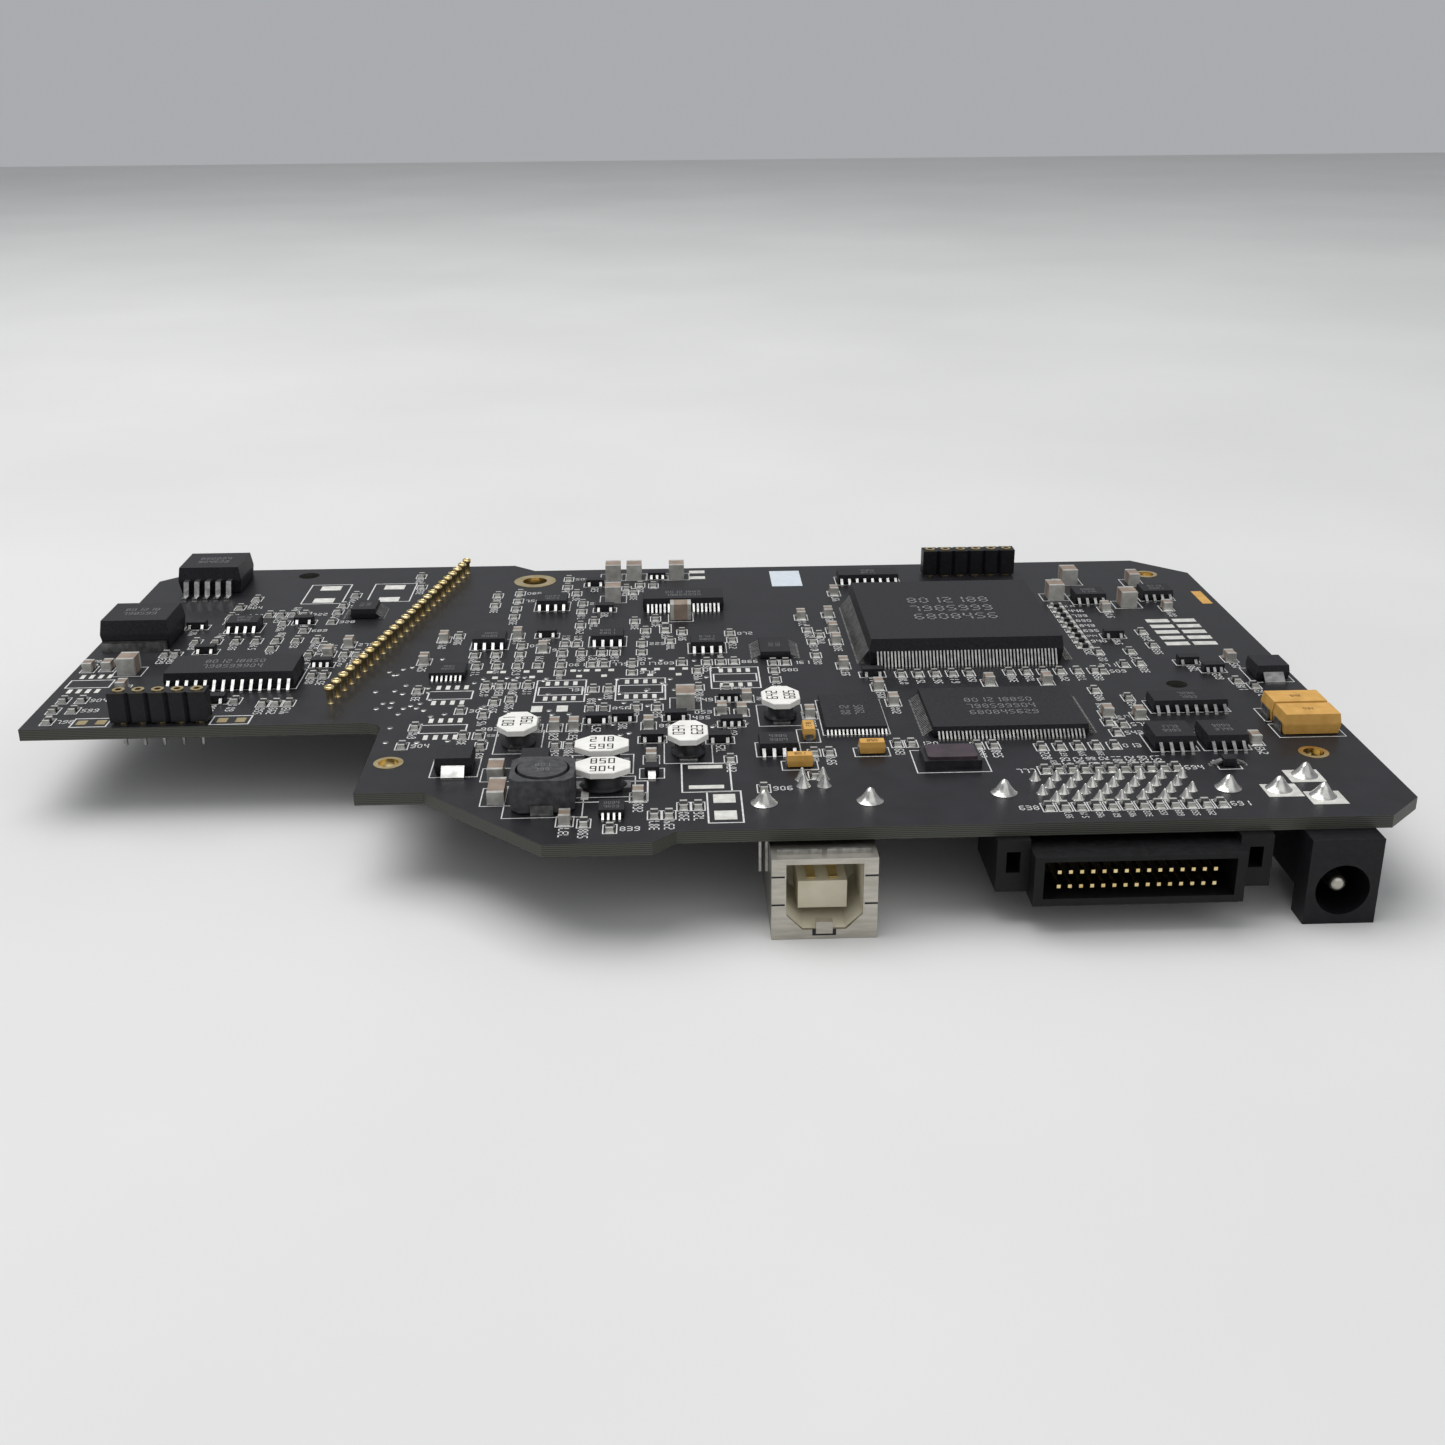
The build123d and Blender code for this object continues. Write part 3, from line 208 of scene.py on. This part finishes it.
def plates(name, centres, sizes, material, base=0.0, turns=0.0, flat=False, taper=0.0):
    """Blocks with their feet at base above the board: corner = turn(unit * size) + centre."""
    centres = np.asarray(centres, float).reshape(-1, 2)
    count = len(centres)
    sizes = np.broadcast_to(np.asarray(sizes, float), (count, 3))
    turns = np.broadcast_to(np.asarray(turns, float), (count,))
    corners = UNIT[None] * sizes[:, None]
    corners[:, 4:, :2] *= 1 - taper
    cos, sin = np.cos(turns)[:, None], np.sin(turns)[:, None]
    x = corners[..., 0] * cos - corners[..., 1] * sin + centres[:, :1]
    y = corners[..., 0] * sin + corners[..., 1] * cos + centres[:, 1:]
    base = np.broadcast_to(np.asarray(base, float), (count,))[:, None]
    points = np.stack([x, y, corners[..., 2] + base], -1).reshape(-1, 3) * MM
    points[:, 2] += BOARD_TOP
    faces = (FLAT if flat else SIDES)[None] + 8 * np.arange(count)[:, None, None]
    mesh = bpy.data.meshes.new(name)
    faces = faces.reshape(-1, 4)
    if flat:
        used, faces = np.unique(faces, return_inverse=True)
        points = points[used]
        faces = faces.reshape(-1, 4)
    mesh.from_pydata(points, [], faces.tolist())
    piece = place_piece(name, mesh, material)
    print(name, count, "blocks")
    return piece


def ends_of(low, high, share, proud=0.03):
    """Centres and sizes of the two metal ends of each block, along its longer side."""
    middle = (low + high)[:, :2] / 2 / MM
    size = (high - low) / MM
    along = (size[:, 0] > size[:, 1]).astype(float)[:, None]
    way = np.hstack([along, 1 - along])
    length = size[:, :2].max(1, keepdims=True)
    reach = way * (length * (1 - share) / 2 + proud)
    part = np.where(way > 0, length * share, size[:, :2] + 2 * proud)
    part = np.hstack([part, size[:, 2:] + proud])
    return np.vstack([middle - reach, middle + reach]), np.vstack([part, part])


# %% [markdown]
# ## Metal ends and solder on the small parts
# A chip resistor is ceramic with a tinned cap at each end, sitting in a small wedge of
# solder on a pad. The caps are wrapped a hair outside the ceramic, and the wedge is a
# low block that narrows upwards.

# %% Caps, solder and pads
cap_metal = finish("cap_metal", (0.46, 0.45, 0.42), (0.62, 0.61, 0.57), 0.4, 0.6)
tinned_pad = finish("tinned_pad", (0.62, 0.61, 0.57), (0.78, 0.77, 0.73), 0.5, 0.55)
slot_of.update(cap_metal="tinned_lead", tinned_pad="solder")
frame["nodes"]["large_capacitor_ends"].data.materials[0] = cap_metal
for node, share in (("chip_resistors", 0.24), ("column_resistors", 0.24), ("small_capacitors", 0.26)):
    low, high = blocks(node)
    centres, sizes = ends_of(low, high, share)
    plates(node + "_caps", centres, sizes, cap_metal)
    outward = centres - np.tile((low + high)[:, :2] / 2 / MM, (2, 1))
    outward /= np.linalg.norm(outward, axis=1, keepdims=True)
    plates(node + "_solder", centres + outward * 0.22, (1, 1, 0.22) * np.hstack([sizes[:, :2] + 0.25,
           np.ones((len(sizes), 1))]), finishes["solder"], taper=0.25)

# %% [markdown]
# ## Pads under the leads
# Each gull-wing lead stands on a tinned pad a little longer than its foot. The lead's
# box gives its place; its foot is at the end that is further from the package, but a
# thin pad under the whole outer part looks the same and needs no such test.

# %% Pads under every lead
LEAD_NODES = [name for name in slots if name.endswith("_leads")]
for node in LEAD_NODES:
    low, high = blocks(node)
    many = node.replace("_leads", "_bodies")
    body = blocks(many if many in slots else node.replace("_leads", "_body"))
    hubs = (body[0] + body[1])[:, :2] / 2
    middle = (low + high)[:, :2] / 2
    nearest = np.linalg.norm(middle[:, None] - hubs[None], axis=2).argmin(1)
    size = (high - low)[:, :2]
    along = (size[:, 0] > size[:, 1]).astype(float)[:, None]
    way = np.hstack([along, 1 - along]) * np.sign(middle - hubs[nearest])
    toe = middle + way * size / 2
    length = np.minimum(size.max(1, keepdims=True) * 0.62, 1.1 * MM)
    pad = np.where(way != 0, length + 0.25 * MM, size + 0.06 * MM)
    centre = toe - way * (length / 2 - 0.125 * MM)
    pad = np.hstack([pad / MM, np.full((len(pad), 1), 0.05)])
    plates(node + "_pads", centre / MM, pad, finishes["solder"])

# %% [markdown]
# ## Printed numbers
# The white print on the board is plain numbers only here, built as seven strokes a
# digit: each digit is the subset of strokes that a numeric display would light. All
# strokes of all digits become one flat mesh.

# %% Numbers from strokes
STROKES = np.array([
    [0, 2, 1, 0], [0.5, 1.5, 0, 1], [0.5, 0.5, 0, 1], [0, 0, 1, 0],
    [-0.5, 0.5, 0, 1], [-0.5, 1.5, 0, 1], [0, 1, 1, 0],
])
LIT = ["012345", "12", "01346", "01236", "1256", "02356", "023456", "012", "0123456", "012356"]


PRINT_LIFT = 0.012
FRAME_LIFT = 0.01


def numbers(name, places, height, material, base=PRINT_LIFT, digits=3, turns=0.0, seed=1, stroke=0.13):
    """Groups of plain digits: every digit is a set of flat strokes, turned with its group."""
    rng = np.random.default_rng(seed)
    places = np.asarray(places, float).reshape(-1, 2)
    turns = np.broadcast_to(np.asarray(turns, float), (len(places),))
    base = np.broadcast_to(np.asarray(base, float), (len(places),))
    unit = height / 2
    width = unit * 0.9
    centres, sizes, angles, bases = [], [], [], []
    for index, value in enumerate(rng.integers(0, 10, (len(places), digits))):
        for column, digit in enumerate(value):
            lit = STROKES[[int(code) for code in LIT[digit]]]
            x = (column - (digits - 1) / 2) * width * 1.75 + lit[:, 0] * width
            y = (lit[:, 1] - 1) * unit
            turn = turns[index]
            cos, sin = math.cos(turn), math.sin(turn)
            centres.append(np.stack([x * cos - y * sin, x * sin + y * cos], 1) + places[index])
            thick = stroke * unit * 1.6
            sizes.append(lit[:, 2:] * (width, unit) + thick)
            angles.append(np.full(len(lit), turn))
            bases.append(np.full(len(lit), base[index]))
    sizes = np.pad(np.vstack(sizes), ((0, 0), (0, 1)))
    return plates(name, np.vstack(centres), sizes, material, np.concatenate(bases),
                  np.concatenate(angles), flat=True)


white_print = finish("white_print", (0.5, 0.5, 0.49), (0.66, 0.66, 0.65), 0.6, scale=1500)
grey_print = finish("package_print", (0.13, 0.13, 0.135), (0.22, 0.22, 0.225), 0.6, scale=2500)
SMALL_NODES = ("chip_resistors", "column_resistors", "small_capacitors", "transistor_bodies")
small = [blocks(node) for node in SMALL_NODES]
small_low = np.vstack([low for low, _ in small])
small_high = np.vstack([high for _, high in small])
small_middle = (small_low + small_high)[:, :2] / 2 / MM
small_half = (small_high - small_low)[:, :2] / 2 / MM
print(len(small_middle), "small parts to label")

# %% [markdown]
# ## Printed outlines
# A thin white frame is printed round each part. A frame is four strokes, two along X and
# two along Y, so a list of boxes becomes four times as many plates.

# %% Frames round the parts
def frames_round(name, low, high, margin, stroke=0.14):
    """White frames: each box grown by the margin, and drawn as its four edges."""
    low = low[:, :2] / MM - margin
    high = high[:, :2] / MM + margin
    middle = (low + high) / 2
    size = high - low
    zero = np.zeros(len(low))
    centres = np.vstack([
        np.stack([middle[:, 0], low[:, 1]], 1), np.stack([middle[:, 0], high[:, 1]], 1),
        np.stack([low[:, 0], middle[:, 1]], 1), np.stack([high[:, 0], middle[:, 1]], 1),
    ])
    wide = np.stack([size[:, 0] + stroke, zero + stroke, zero], 1)
    tall = np.stack([zero + stroke, size[:, 1] - stroke, zero], 1)
    return plates(name, centres, np.vstack([wide, wide, tall, tall]), white_print,
                  FRAME_LIFT, flat=True)


frames_round("chip_frames", small_low, small_high, 0.38)
for node, margin in (("small_outline_bodies", 0.35), ("coil_bodies", 0.5), ("shielded_case", 0.9),
                     ("converter_body", 0.2), ("oscillator_base", 1.0), ("large_capacitors", 0.85),
                     ("memory_body", 0.3), ("tantalum_bodies", 0.6), ("rectifier_bodies", 0.6)):
    frames_round(node + "_frames", *blocks(node), margin)

# %% [markdown]
# ## Marks on the packages
# Moulded packages carry pale print on top, and the inductors and tantalum capacitors dark
# print. Each row below gives a node, the height of a digit, digits a line and lines.

# %% Numbers on the bodies
MARKED = [
    ("gate_array_body", 2.3, 7, 3), ("usb_controller_body", 1.3, 9, 3), ("memory_body", 1.1, 4, 2),
    ("converter_body", 1.2, 9, 2), ("line_driver_body", 0.9, 8, 2), ("small_outline_bodies", 0.75, 4, 2),
    ("fine_outline_bodies", 0.6, 4, 2), ("regulator_bodies", 1.1, 6, 2), ("shielded_core", 0.8, 3, 2),
    ("coil_bodies", 1.35, 3, 2), ("tantalum_bodies", 0.6, 3, 1),
]
for node, height, digits, lines in MARKED:
    low, high = blocks(node)
    middle = (low + high)[:, :2] / 2 / MM
    size = (high - low)[:, :2] / MM
    tops = high[:, 2] / MM - BOARD_TOP / MM + PRINT_LIFT
    turn = np.where(size[:, 1] > size[:, 0] * 1.15, math.pi / 2, 0.0)
    for line in range(lines):
        shift = (line - (lines - 1) / 2) * height * 1.7
        places = middle + np.stack([np.sin(turn), -np.cos(turn)], 1) * shift
        ink = finishes["black_plastic"] if node in ("coil_bodies", "tantalum_bodies") else grey_print
        numbers(f"{node}_marks_{line}", places, height, ink, tops, digits, turn, seed=line + 3, stroke=0.16)

# %% [markdown]
# ## Turned and poured shapes
# Solder fillets, turned receptacles and inductor drums are all surfaces of revolution:
# a short profile of radius and height, carried round the axis. One function does it for
# many places at once, with the angle along one array axis and the profile along another.

# %% Surfaces of revolution at many places
def turned_pieces(name, places, profile, material, sides=20, base=0.0, stretch=1.0, faceted=False):
    """Point = place + radius(t) * (cos a, stretch * sin a), height(t), for every place, t and a."""
    places = np.asarray(places, float).reshape(-1, 2)
    profile = np.asarray(profile, float)
    angle = np.linspace(0, 2 * np.pi, sides, endpoint=False) + (np.pi / sides if faceted else 0)
    x = places[:, 0, None, None] + profile[None, :, 0, None] * np.cos(angle)
    y = places[:, 1, None, None] + profile[None, :, 0, None] * np.sin(angle) * stretch
    z = np.broadcast_to(profile[None, :, 1, None] + base, x.shape)
    points = np.stack([x, y, z], -1).reshape(-1, 3) * MM
    points[:, 2] += BOARD_TOP
    rows = len(profile)
    place, row, side = np.meshgrid(
        np.arange(len(places)), np.arange(rows - 1), np.arange(sides), indexing="ij")
    start = (place * rows + row) * sides
    following = (side + 1) % sides
    faces = np.stack([start + side, start + following, start + sides + following, start + sides + side], -1)
    mesh = bpy.data.meshes.new(name)
    mesh.from_pydata(points, [], faces.reshape(-1, 4).tolist())
    mesh.polygons.foreach_set("use_smooth", np.full(len(mesh.polygons), not faceted))
    piece = place_piece(name, mesh, material)
    return piece


def middles(node):
    """Plan centre of each block of a node, in millimetres."""
    low, high = blocks(node)
    return (low + high)[:, :2] / 2 / MM


joints = middles("joint_solder")
outer = (joints[:, 0] < 41) | (joints[:, 0] > 62)
usb_pins = (joints[:, 0] < 30) & (joints[:, 1] > -41)
fillet = np.array([(1.0, 0.02), (0.86, 0.12), (0.62, 0.38), (0.38, 0.72), (0.2, 0.98), (0.0, 1.06)])
for name, chosen, scale in (("fine_fillets", ~outer, (0.72, 1.1)), ("usb_fillets", usb_pins, (0.9, 1.5)),
                            ("heavy_fillets", outer & ~usb_pins, (1.6, 1.6))):
    piece = turned_pieces(name, joints[chosen], fillet * scale, finishes["solder"])
    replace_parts(piece, "joint_solder")
pins = middles("sensor_receptacles")
cup = [(0.52, 0.02), (0.46, 0.2), (0.46, 1.65), (0.62, 1.8), (0.72, 2.1), (0.68, 2.4), (0.5, 2.5),
       (0.4, 2.42), (0.36, 1.3), (0.0, 1.3)]
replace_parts(turned_pieces("turned_receptacles", pins, cup, finishes["gold_plate"]), "sensor_receptacles")
# A black disc just inside each receptacle's mouth is painted shade: it stands for the dark of the hole,
# whose walls are really gold.
turned_pieces("receptacle_painted_shade", pins, [(0.38, 2.3), (0.0, 2.3)], finishes["black_ceramic"])
tails = middles("socket_contacts")
turned_pieces("socket_tails", tails, [(0.0, -3.5), (0.26, -3.3), (0.26, -1.5)], finishes["tinned_lead"], 12)
print(len(joints), "joints,", len(pins), "receptacles,", len(tails), "socket tails")

# %% [markdown]
# ## Inductor drums
# The white inductors are a thin eight-sided ceramic plate on a narrower dark drum. The
# plate keeps the outline of the solid from the drawing, and the drum stands inside it. The
# drum's dark is partly its real core and partly painted shade under the plate.

# %% White plates on dark drums
PLATE_THICKNESS = 0.75
PLATE_BEVEL = 0.08
coil_low, coil_high = blocks("coil_bodies")
for index, (low, high) in enumerate(zip(coil_low / MM, coil_high / MM)):
    centre = (low + high)[:2] / 2
    half = (high - low)[:2] / 2
    top = high[2] - BOARD_TOP / MM
    ratio = half[1] / half[0]
    radius = half[0] / math.cos(math.pi / 8)
    under = top - PLATE_THICKNESS
    plate = [(0, under), (radius, under), (radius, top - PLATE_BEVEL), (radius * 0.97, top), (0, top)]
    piece = turned_pieces(f"coil_plate_{index}", [centre], plate, finishes["white_ceramic"], 8,
                          stretch=ratio, faceted=True)
    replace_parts(piece, "coil_bodies")
    # The drum is a dark core, and its dark also serves as painted shade under the white plate.
    drum = [(radius * 0.8, 0.1), (radius * 0.8, 0.35), (radius * 0.62, 0.4), (radius * 0.62, under)]
    turned_pieces(f"coil_drum_and_painted_shade_{index}", [centre], drum, finishes["black_ceramic"], 24, stretch=ratio)
print(len(coil_low), "inductors dressed")

# %% [markdown]
# ## Empty footprints
# Some places on the board were never filled. They show tinned pads and a printed frame.
# A row of pads is a count, a pitch and a size; every footprint below is made from rows.

# %% Rows of bare pads
def pad_row(x, y, count, pitch, size):
    """Centres and sizes of evenly spaced pads along X, centred on x."""
    centres = np.stack([x + (np.arange(count) - (count - 1) / 2) * pitch, np.full(count, y)], 1)
    return centres, np.broadcast_to([*size, 0.04], (count, 3))


EIGHT_LEAD_PLACES = ((-16, -6.1), (-5, -5.9), (8.2, -2.1), (-31, -6.9), (-30.5, -19.2), (-82.0, 0.3))
LEAD_PITCH = 1.27
rows = [pad_row(x, y + side * 2.9, 4, LEAD_PITCH, (0.6, 1.5))
        for x, y in EIGHT_LEAD_PLACES for side in (-1, 1)]
rows += [pad_row(x, y, 1, 1, (3.3, 2.3)) for x in (-56.4, -46.0) for y in (43.7, 37.1)]
rows += [pad_row(x, 8.6 + 2.65 * step, 1, 1, (3.5, 1.5)) for x in (73.9, 78.0) for step in range(5)]
rows += [pad_row(x, y, 1, 1, (4.2, 1.0)) for x, y in ((3.2, -33.4), (3.2, -39.4))]
rows += [pad_row(5.2, y, 1, 1, (2.6, 2.4)) for y in (-42.8, -47.4)]
rows += [pad_row(x, -40.3, 1, 1, (0.9, 4.0)) for x in (-11.2, -5.1)]
rows += [pad_row(x, -12.8, 1, 1, (1.5, 2.2)) for x in (-18.8, -15.4)]
rows += [pad_row(x, y, 1, 1, (4.2, 3.6)) for x, y in ((70.9, -43.9), (75.0, -39.9), (75.3, -46.2))]
rows += [pad_row(3.9, y, 1, 1, (2.6, 1.5)) for y in (49.4, 46.1)]
rows += [pad_row(x + side * 0.95, y, 1, 1, (0.8, 0.9)) for x in (-25.5, -20.3, -13.7, -10.2, -3.7, 0.3)
         for side, y in ((-1, 1.9), (1, 1.9), (0, -0.4))]
pad_centres = np.vstack([centres for centres, _ in rows])
pad_sizes = np.vstack([sizes for _, sizes in rows])
plates("bare_pads", pad_centres, pad_sizes, tinned_pad)
boxes = np.array([[-19.0, -7.6, -13.0, -4.6], [-8.0, -7.4, -2.0, -4.4], [5.2, -3.6, 11.2, -0.6],
                  [-34.0, -8.4, -28.0, -5.4], [-33.5, -20.6, -27.5, -17.8], [-85.0, -1.2, -79.0, 1.8],
                  [-19.4, -10.3, -12.6, -1.9], [-8.4, -10.1, -1.6, -1.7], [4.8, -6.3, 11.6, 2.1],
                  [0.3, -40.8, 6.2, -32.3], [3.2, -49.4, 7.2, -40.7], [-12.6, -43.0, -3.8, -37.2],
                  [-59.8, 35.5, -53.3, 45.7], [-49.4, 36.0, -42.6, 45.7], [-79.6, -16.0, -74.9, -13.0],
                  [-61.4, -16.0, -56.4, -13.0]])
flat_low = np.hstack([boxes[:, :2], np.zeros((len(boxes), 1))]) * MM
flat_high = np.hstack([boxes[:, 2:], np.zeros((len(boxes), 1))]) * MM
frames_round("footprint_frames", flat_low, flat_high, 0.0, 0.2)
label = finish("blank_label", (0.52, 0.57, 0.62), (0.58, 0.62, 0.66), 0.5)
plates("blank_label", [(18.6, 44.8)], (5.0, 8.6, 0.03), label)
rings = [(-78.4, -14.5), (-75.9, -14.5), (-60.0, -14.6), (-57.6, -14.6)]
plates("gold_pads", rings, (1.3, 1.5, 0.05), finishes["gold_plate"])
plates("edge_patch", [(84.2, 30.5)], (1.6, 6.5, 0.03), finishes["yellow_moulding"])

# %% [markdown]
# ## Numbers where there is room
# Every small part has a printed number, but print never crosses another part. For each
# part four places are tried, below, right, left and above, and the first whose box
# misses everything placed so far is taken. Free spots then get tinned through holes.

# %% Part numbers and through holes in free space
KINDS = ("bodies", "body", "leads", "tabs", "housings", "case", "lid", "terminals", "capacitors", "ends",
         "receptacles", "resistors", "solder", "base", "plating")
occupied = [blocks(node) for node in slots if node.endswith(KINDS)]
taken_low = np.vstack([low[:, :2] / MM for low, _ in occupied] + [pad_centres - pad_sizes[:, :2] / 2])
taken_high = np.vstack([high[:, :2] / MM for _, high in occupied] + [pad_centres + pad_sizes[:, :2] / 2])
EDGE_MARGIN = 0.2
CORNERS = np.array([[-1, -1], [1, -1], [1, 1], [-1, 1]])


def is_free(centre, half):
    """True when the box overlaps no taken box and rays down at its corners all meet the board."""
    meets = (taken_low < centre + half) & (taken_high > centre - half)
    if meets.all(1).any():
        return False
    corners = (centre + (half + EDGE_MARGIN) * CORNERS) * MM
    board = frame["nodes"]["circuit_board"]
    above = BOARD_TOP + 0.01
    return all(board.ray_cast(Vector((x, y, above)), Vector((0, 0, -1)))[0] for x, y in corners)


UPRIGHT = math.pi / 2
for name, height in (("part_numbers", 1.05), ("fine_part_numbers", 0.7)):
    spots, angles, left_over = [], [], []
    for middle, half in zip(small_middle, small_half):
        reach = height * 1.3 + 0.5
        below = np.array([0, half[1] + reach])
        right_side = np.array([half[0] + reach, 0])
        for offset, turn in ((-below, UPRIGHT), (right_side, 0.0), (-right_side, 0.0), (below, UPRIGHT)):
            box = np.array([height * 0.53, height * 1.2])[::1 if turn else -1]
            if is_free(middle + offset, box):
                taken_low = np.vstack([taken_low, middle + offset - box])
                taken_high = np.vstack([taken_high, middle + offset + box])
                spots.append(middle + offset)
                angles.append(turn)
                break
        else:
            left_over.append((middle, half))
    small_middle = [middle for middle, _ in left_over]
    small_half = [half for _, half in left_over]
    numbers(name, spots, height, white_print, digits=3, turns=angles, seed=4, stroke=0.18)
    print(len(spots), "numbers", height, "mm high")
tries = np.random.default_rng(11).uniform((-42, -24), (9, 8), (900, 2))
holes = [spot for spot in tries if is_free(spot, 0.45)][:90]
turned_pieces("through_holes", holes, [(0.42, 0.0), (0.36, 0.06), (0.12, 0.06)], finishes["tinned_lead"], 10)
print(len(holes), "through holes")

# %% [markdown]
# ## The square connector's sheet metal
# Its folded shell has two slits in each side flange, a sprung tongue in a notch below
# the mouth, and two small tabs folded up towards the board. They are thin blocks a hair
# in front of the shell, placed from the shell's own box.

# %% Slits, tongue and folded tabs
shell_low, shell_high = (np.array(corner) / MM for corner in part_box("usb_shell"))
shell_x = (shell_low[0] + shell_high[0]) / 2
half_width = (shell_high[0] - shell_low[0]) / 2
front = shell_low[1]
flanges = [shell_x - half_width + 1.15, shell_x + half_width - 1.15]
plates("shell_slits", [(x, front) for x in flanges * 2], (1.5, 0.08, 0.2), finishes["black_ceramic"],
       [-4.4, -4.4, -7.9, -7.9])
plates("shell_notch", [(shell_x, front)], (2.7, 0.08, 0.8), finishes["black_ceramic"], -11.75)
plates("shell_tongue", [(shell_x, front + 0.4)], (1.9, 1.0, 1.5), finishes["steel_sheet"], -11.5)
plates("shell_tabs", [(shell_x - 2.8, front + 1.6), (shell_x + 2.8, front + 1.6)], (5.0, 0.35, 0.5),
       finishes["tinned_lead"], -2.1)
plates("thin_leads", [(9.0, -49.6), (9.75, -49.6)], (0.3, 0.3, 4.6), finishes["tinned_lead"], -6.1)

# %% [markdown]
# ## The cut edge of the board
# The routed edge shows thin layers of pale glass cloth between dark films. Only a level
# surface normal is an edge, so the board's own material turns to a fine band pattern
# along Object Z wherever its normal has no upward share.

# %% Glass cloth on the level normals
tree = finishes["board_laminate"].node_tree
shader = tree.nodes["Principled BSDF"]
normal = tree.nodes.new("ShaderNodeNewGeometry")
split = tree.nodes.new("ShaderNodeSeparateXYZ")
upright = tree.nodes.new("ShaderNodeMath")
upright.operation = "ABSOLUTE"
place = tree.nodes.new("ShaderNodeTexCoord")
layers = tree.nodes.new("ShaderNodeTexWave")
layers.bands_direction = "Z"
layers.inputs["Scale"].default_value = 1300
layers.inputs["Distortion"].default_value = 1.5
cloth = tree.nodes.new("ShaderNodeValToRGB")
cloth.color_ramp.elements[0].color = (0.02, 0.022, 0.018, 1)
cloth.color_ramp.elements[1].color = (0.075, 0.078, 0.063, 1)
blend = tree.nodes.new("ShaderNodeMix")
blend.data_type = "RGBA"
for start, end in ((place.outputs["Object"], layers.inputs["Vector"]),
                   (layers.outputs["Fac"], cloth.inputs["Fac"]),
                   (normal.outputs["True Normal"], split.inputs["Vector"]),
                   (split.outputs["Z"], upright.inputs[0]),
                   (upright.outputs[0], blend.inputs[0]),
                   (cloth.outputs["Color"], blend.inputs[6]),
                   (shader.inputs["Base Color"].links[0].from_socket, blend.inputs[7]),
                   (blend.outputs[2], shader.inputs["Base Color"])):
    tree.links.new(start, end)
# The header's shroud gets a blacker black than the other plastic: painted shade, so its opening looks dark.
header_plastic_painted_shade = finish("header_plastic_painted_shade", (0.002, 0.002, 0.0025), (0.005, 0.005, 0.006),
                        0.5, scale=1500, bump=0.2)
frame["nodes"]["header_shroud"].data.materials[0] = header_plastic_painted_shade
print("board edge layered")

# %% [markdown]
# ## Floor and light
# Large soft lamps keep the metal calm, and the pale floor shows in it.

# %% Floor
def stage_floor(size=3.0):
    """A pale plane under the lowest point of the object, marked as stage."""
    bpy.ops.mesh.primitive_plane_add(size=size, location=(0, 0, cad_low[2] - 0.00002))
    floor = bpy.context.object
    floor.name = "floor"
    pale = finish("pale_floor", (0.6, 0.6, 0.59), (0.64, 0.64, 0.63), 0.6, scale=8, bump=0.02)
    floor.data.materials.append(pale)
    floor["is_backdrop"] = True


def soft_lamp(name, place, size, watts):
    """A square area lamp that points at the board's middle."""
    data = bpy.data.lights.new(name, "AREA")
    data.size = size
    data.energy = watts
    lamp = bpy.data.objects.new(name, data)
    lamp.location = place
    lamp.rotation_euler = (Vector((0, 0, 0.01)) - Vector(place)).to_track_quat("-Z", "Y").to_euler()
    bpy.context.scene.collection.objects.link(lamp)


stage_floor()
soft_lamp("overhead", (-0.25, 0.15, 0.9), 0.9, 9)
soft_lamp("front_fill", (0.35, -0.8, 0.6), 1.3, 3.5)
world = bpy.data.worlds.new("room")
world.use_nodes = True
world.node_tree.nodes["Background"].inputs["Color"].default_value = (0.8, 0.82, 0.85, 1)
world.node_tree.nodes["Background"].inputs["Strength"].default_value = 0.5
bpy.context.scene.world = world

# %% [markdown]
# ## Camera
# The photograph was taken from the front at about 22 degrees above the table. The
# camera's place and lens come from known lead pitches. Its matrix has the right, up and
# backward directions as columns, and the lens is the focal length in pixels scaled to
# the sensor.

# %% Camera
LENS_PIXELS = 1650.9
PHOTO_PIXELS = 1445
CAMERA_PLACE = (-0.00063, -0.21896, 0.09271)
PITCH, YAW, ROLL = (math.radians(angle) for angle in (21.91, 1.85, 0.47))
forward = Vector((math.sin(YAW) * math.cos(PITCH), math.cos(YAW) * math.cos(PITCH), -math.sin(PITCH)))
right = Vector((math.cos(YAW), -math.sin(YAW), 0))
turned = Matrix.Rotation(ROLL, 3, forward)
right = turned @ right
up = right.cross(forward)
camera = bpy.data.objects.new("camera", bpy.data.cameras.new("camera"))
camera.data.sensor_width = 36
camera.data.lens = 36 * LENS_PIXELS / PHOTO_PIXELS
camera.data.clip_start = 0.005
camera.matrix_world = Matrix.Translation(CAMERA_PLACE) @ Matrix(
    (right, up, -forward)).transposed().to_4x4()
bpy.context.scene.collection.objects.link(camera)
bpy.context.scene.camera = camera
bpy.context.scene.view_settings.view_transform = "Standard"

# %% [markdown]
# ## Box growth
# The dressed part should stay inside the box of the drawing's solids, so the growth of its
# upper corner over that box is printed before the scene is finished.

# %% Compare the boxes and finish
low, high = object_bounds()
print("grown by", [round((a - b) / MM, 3) for a, b in zip(high, cad_high)], "mm")
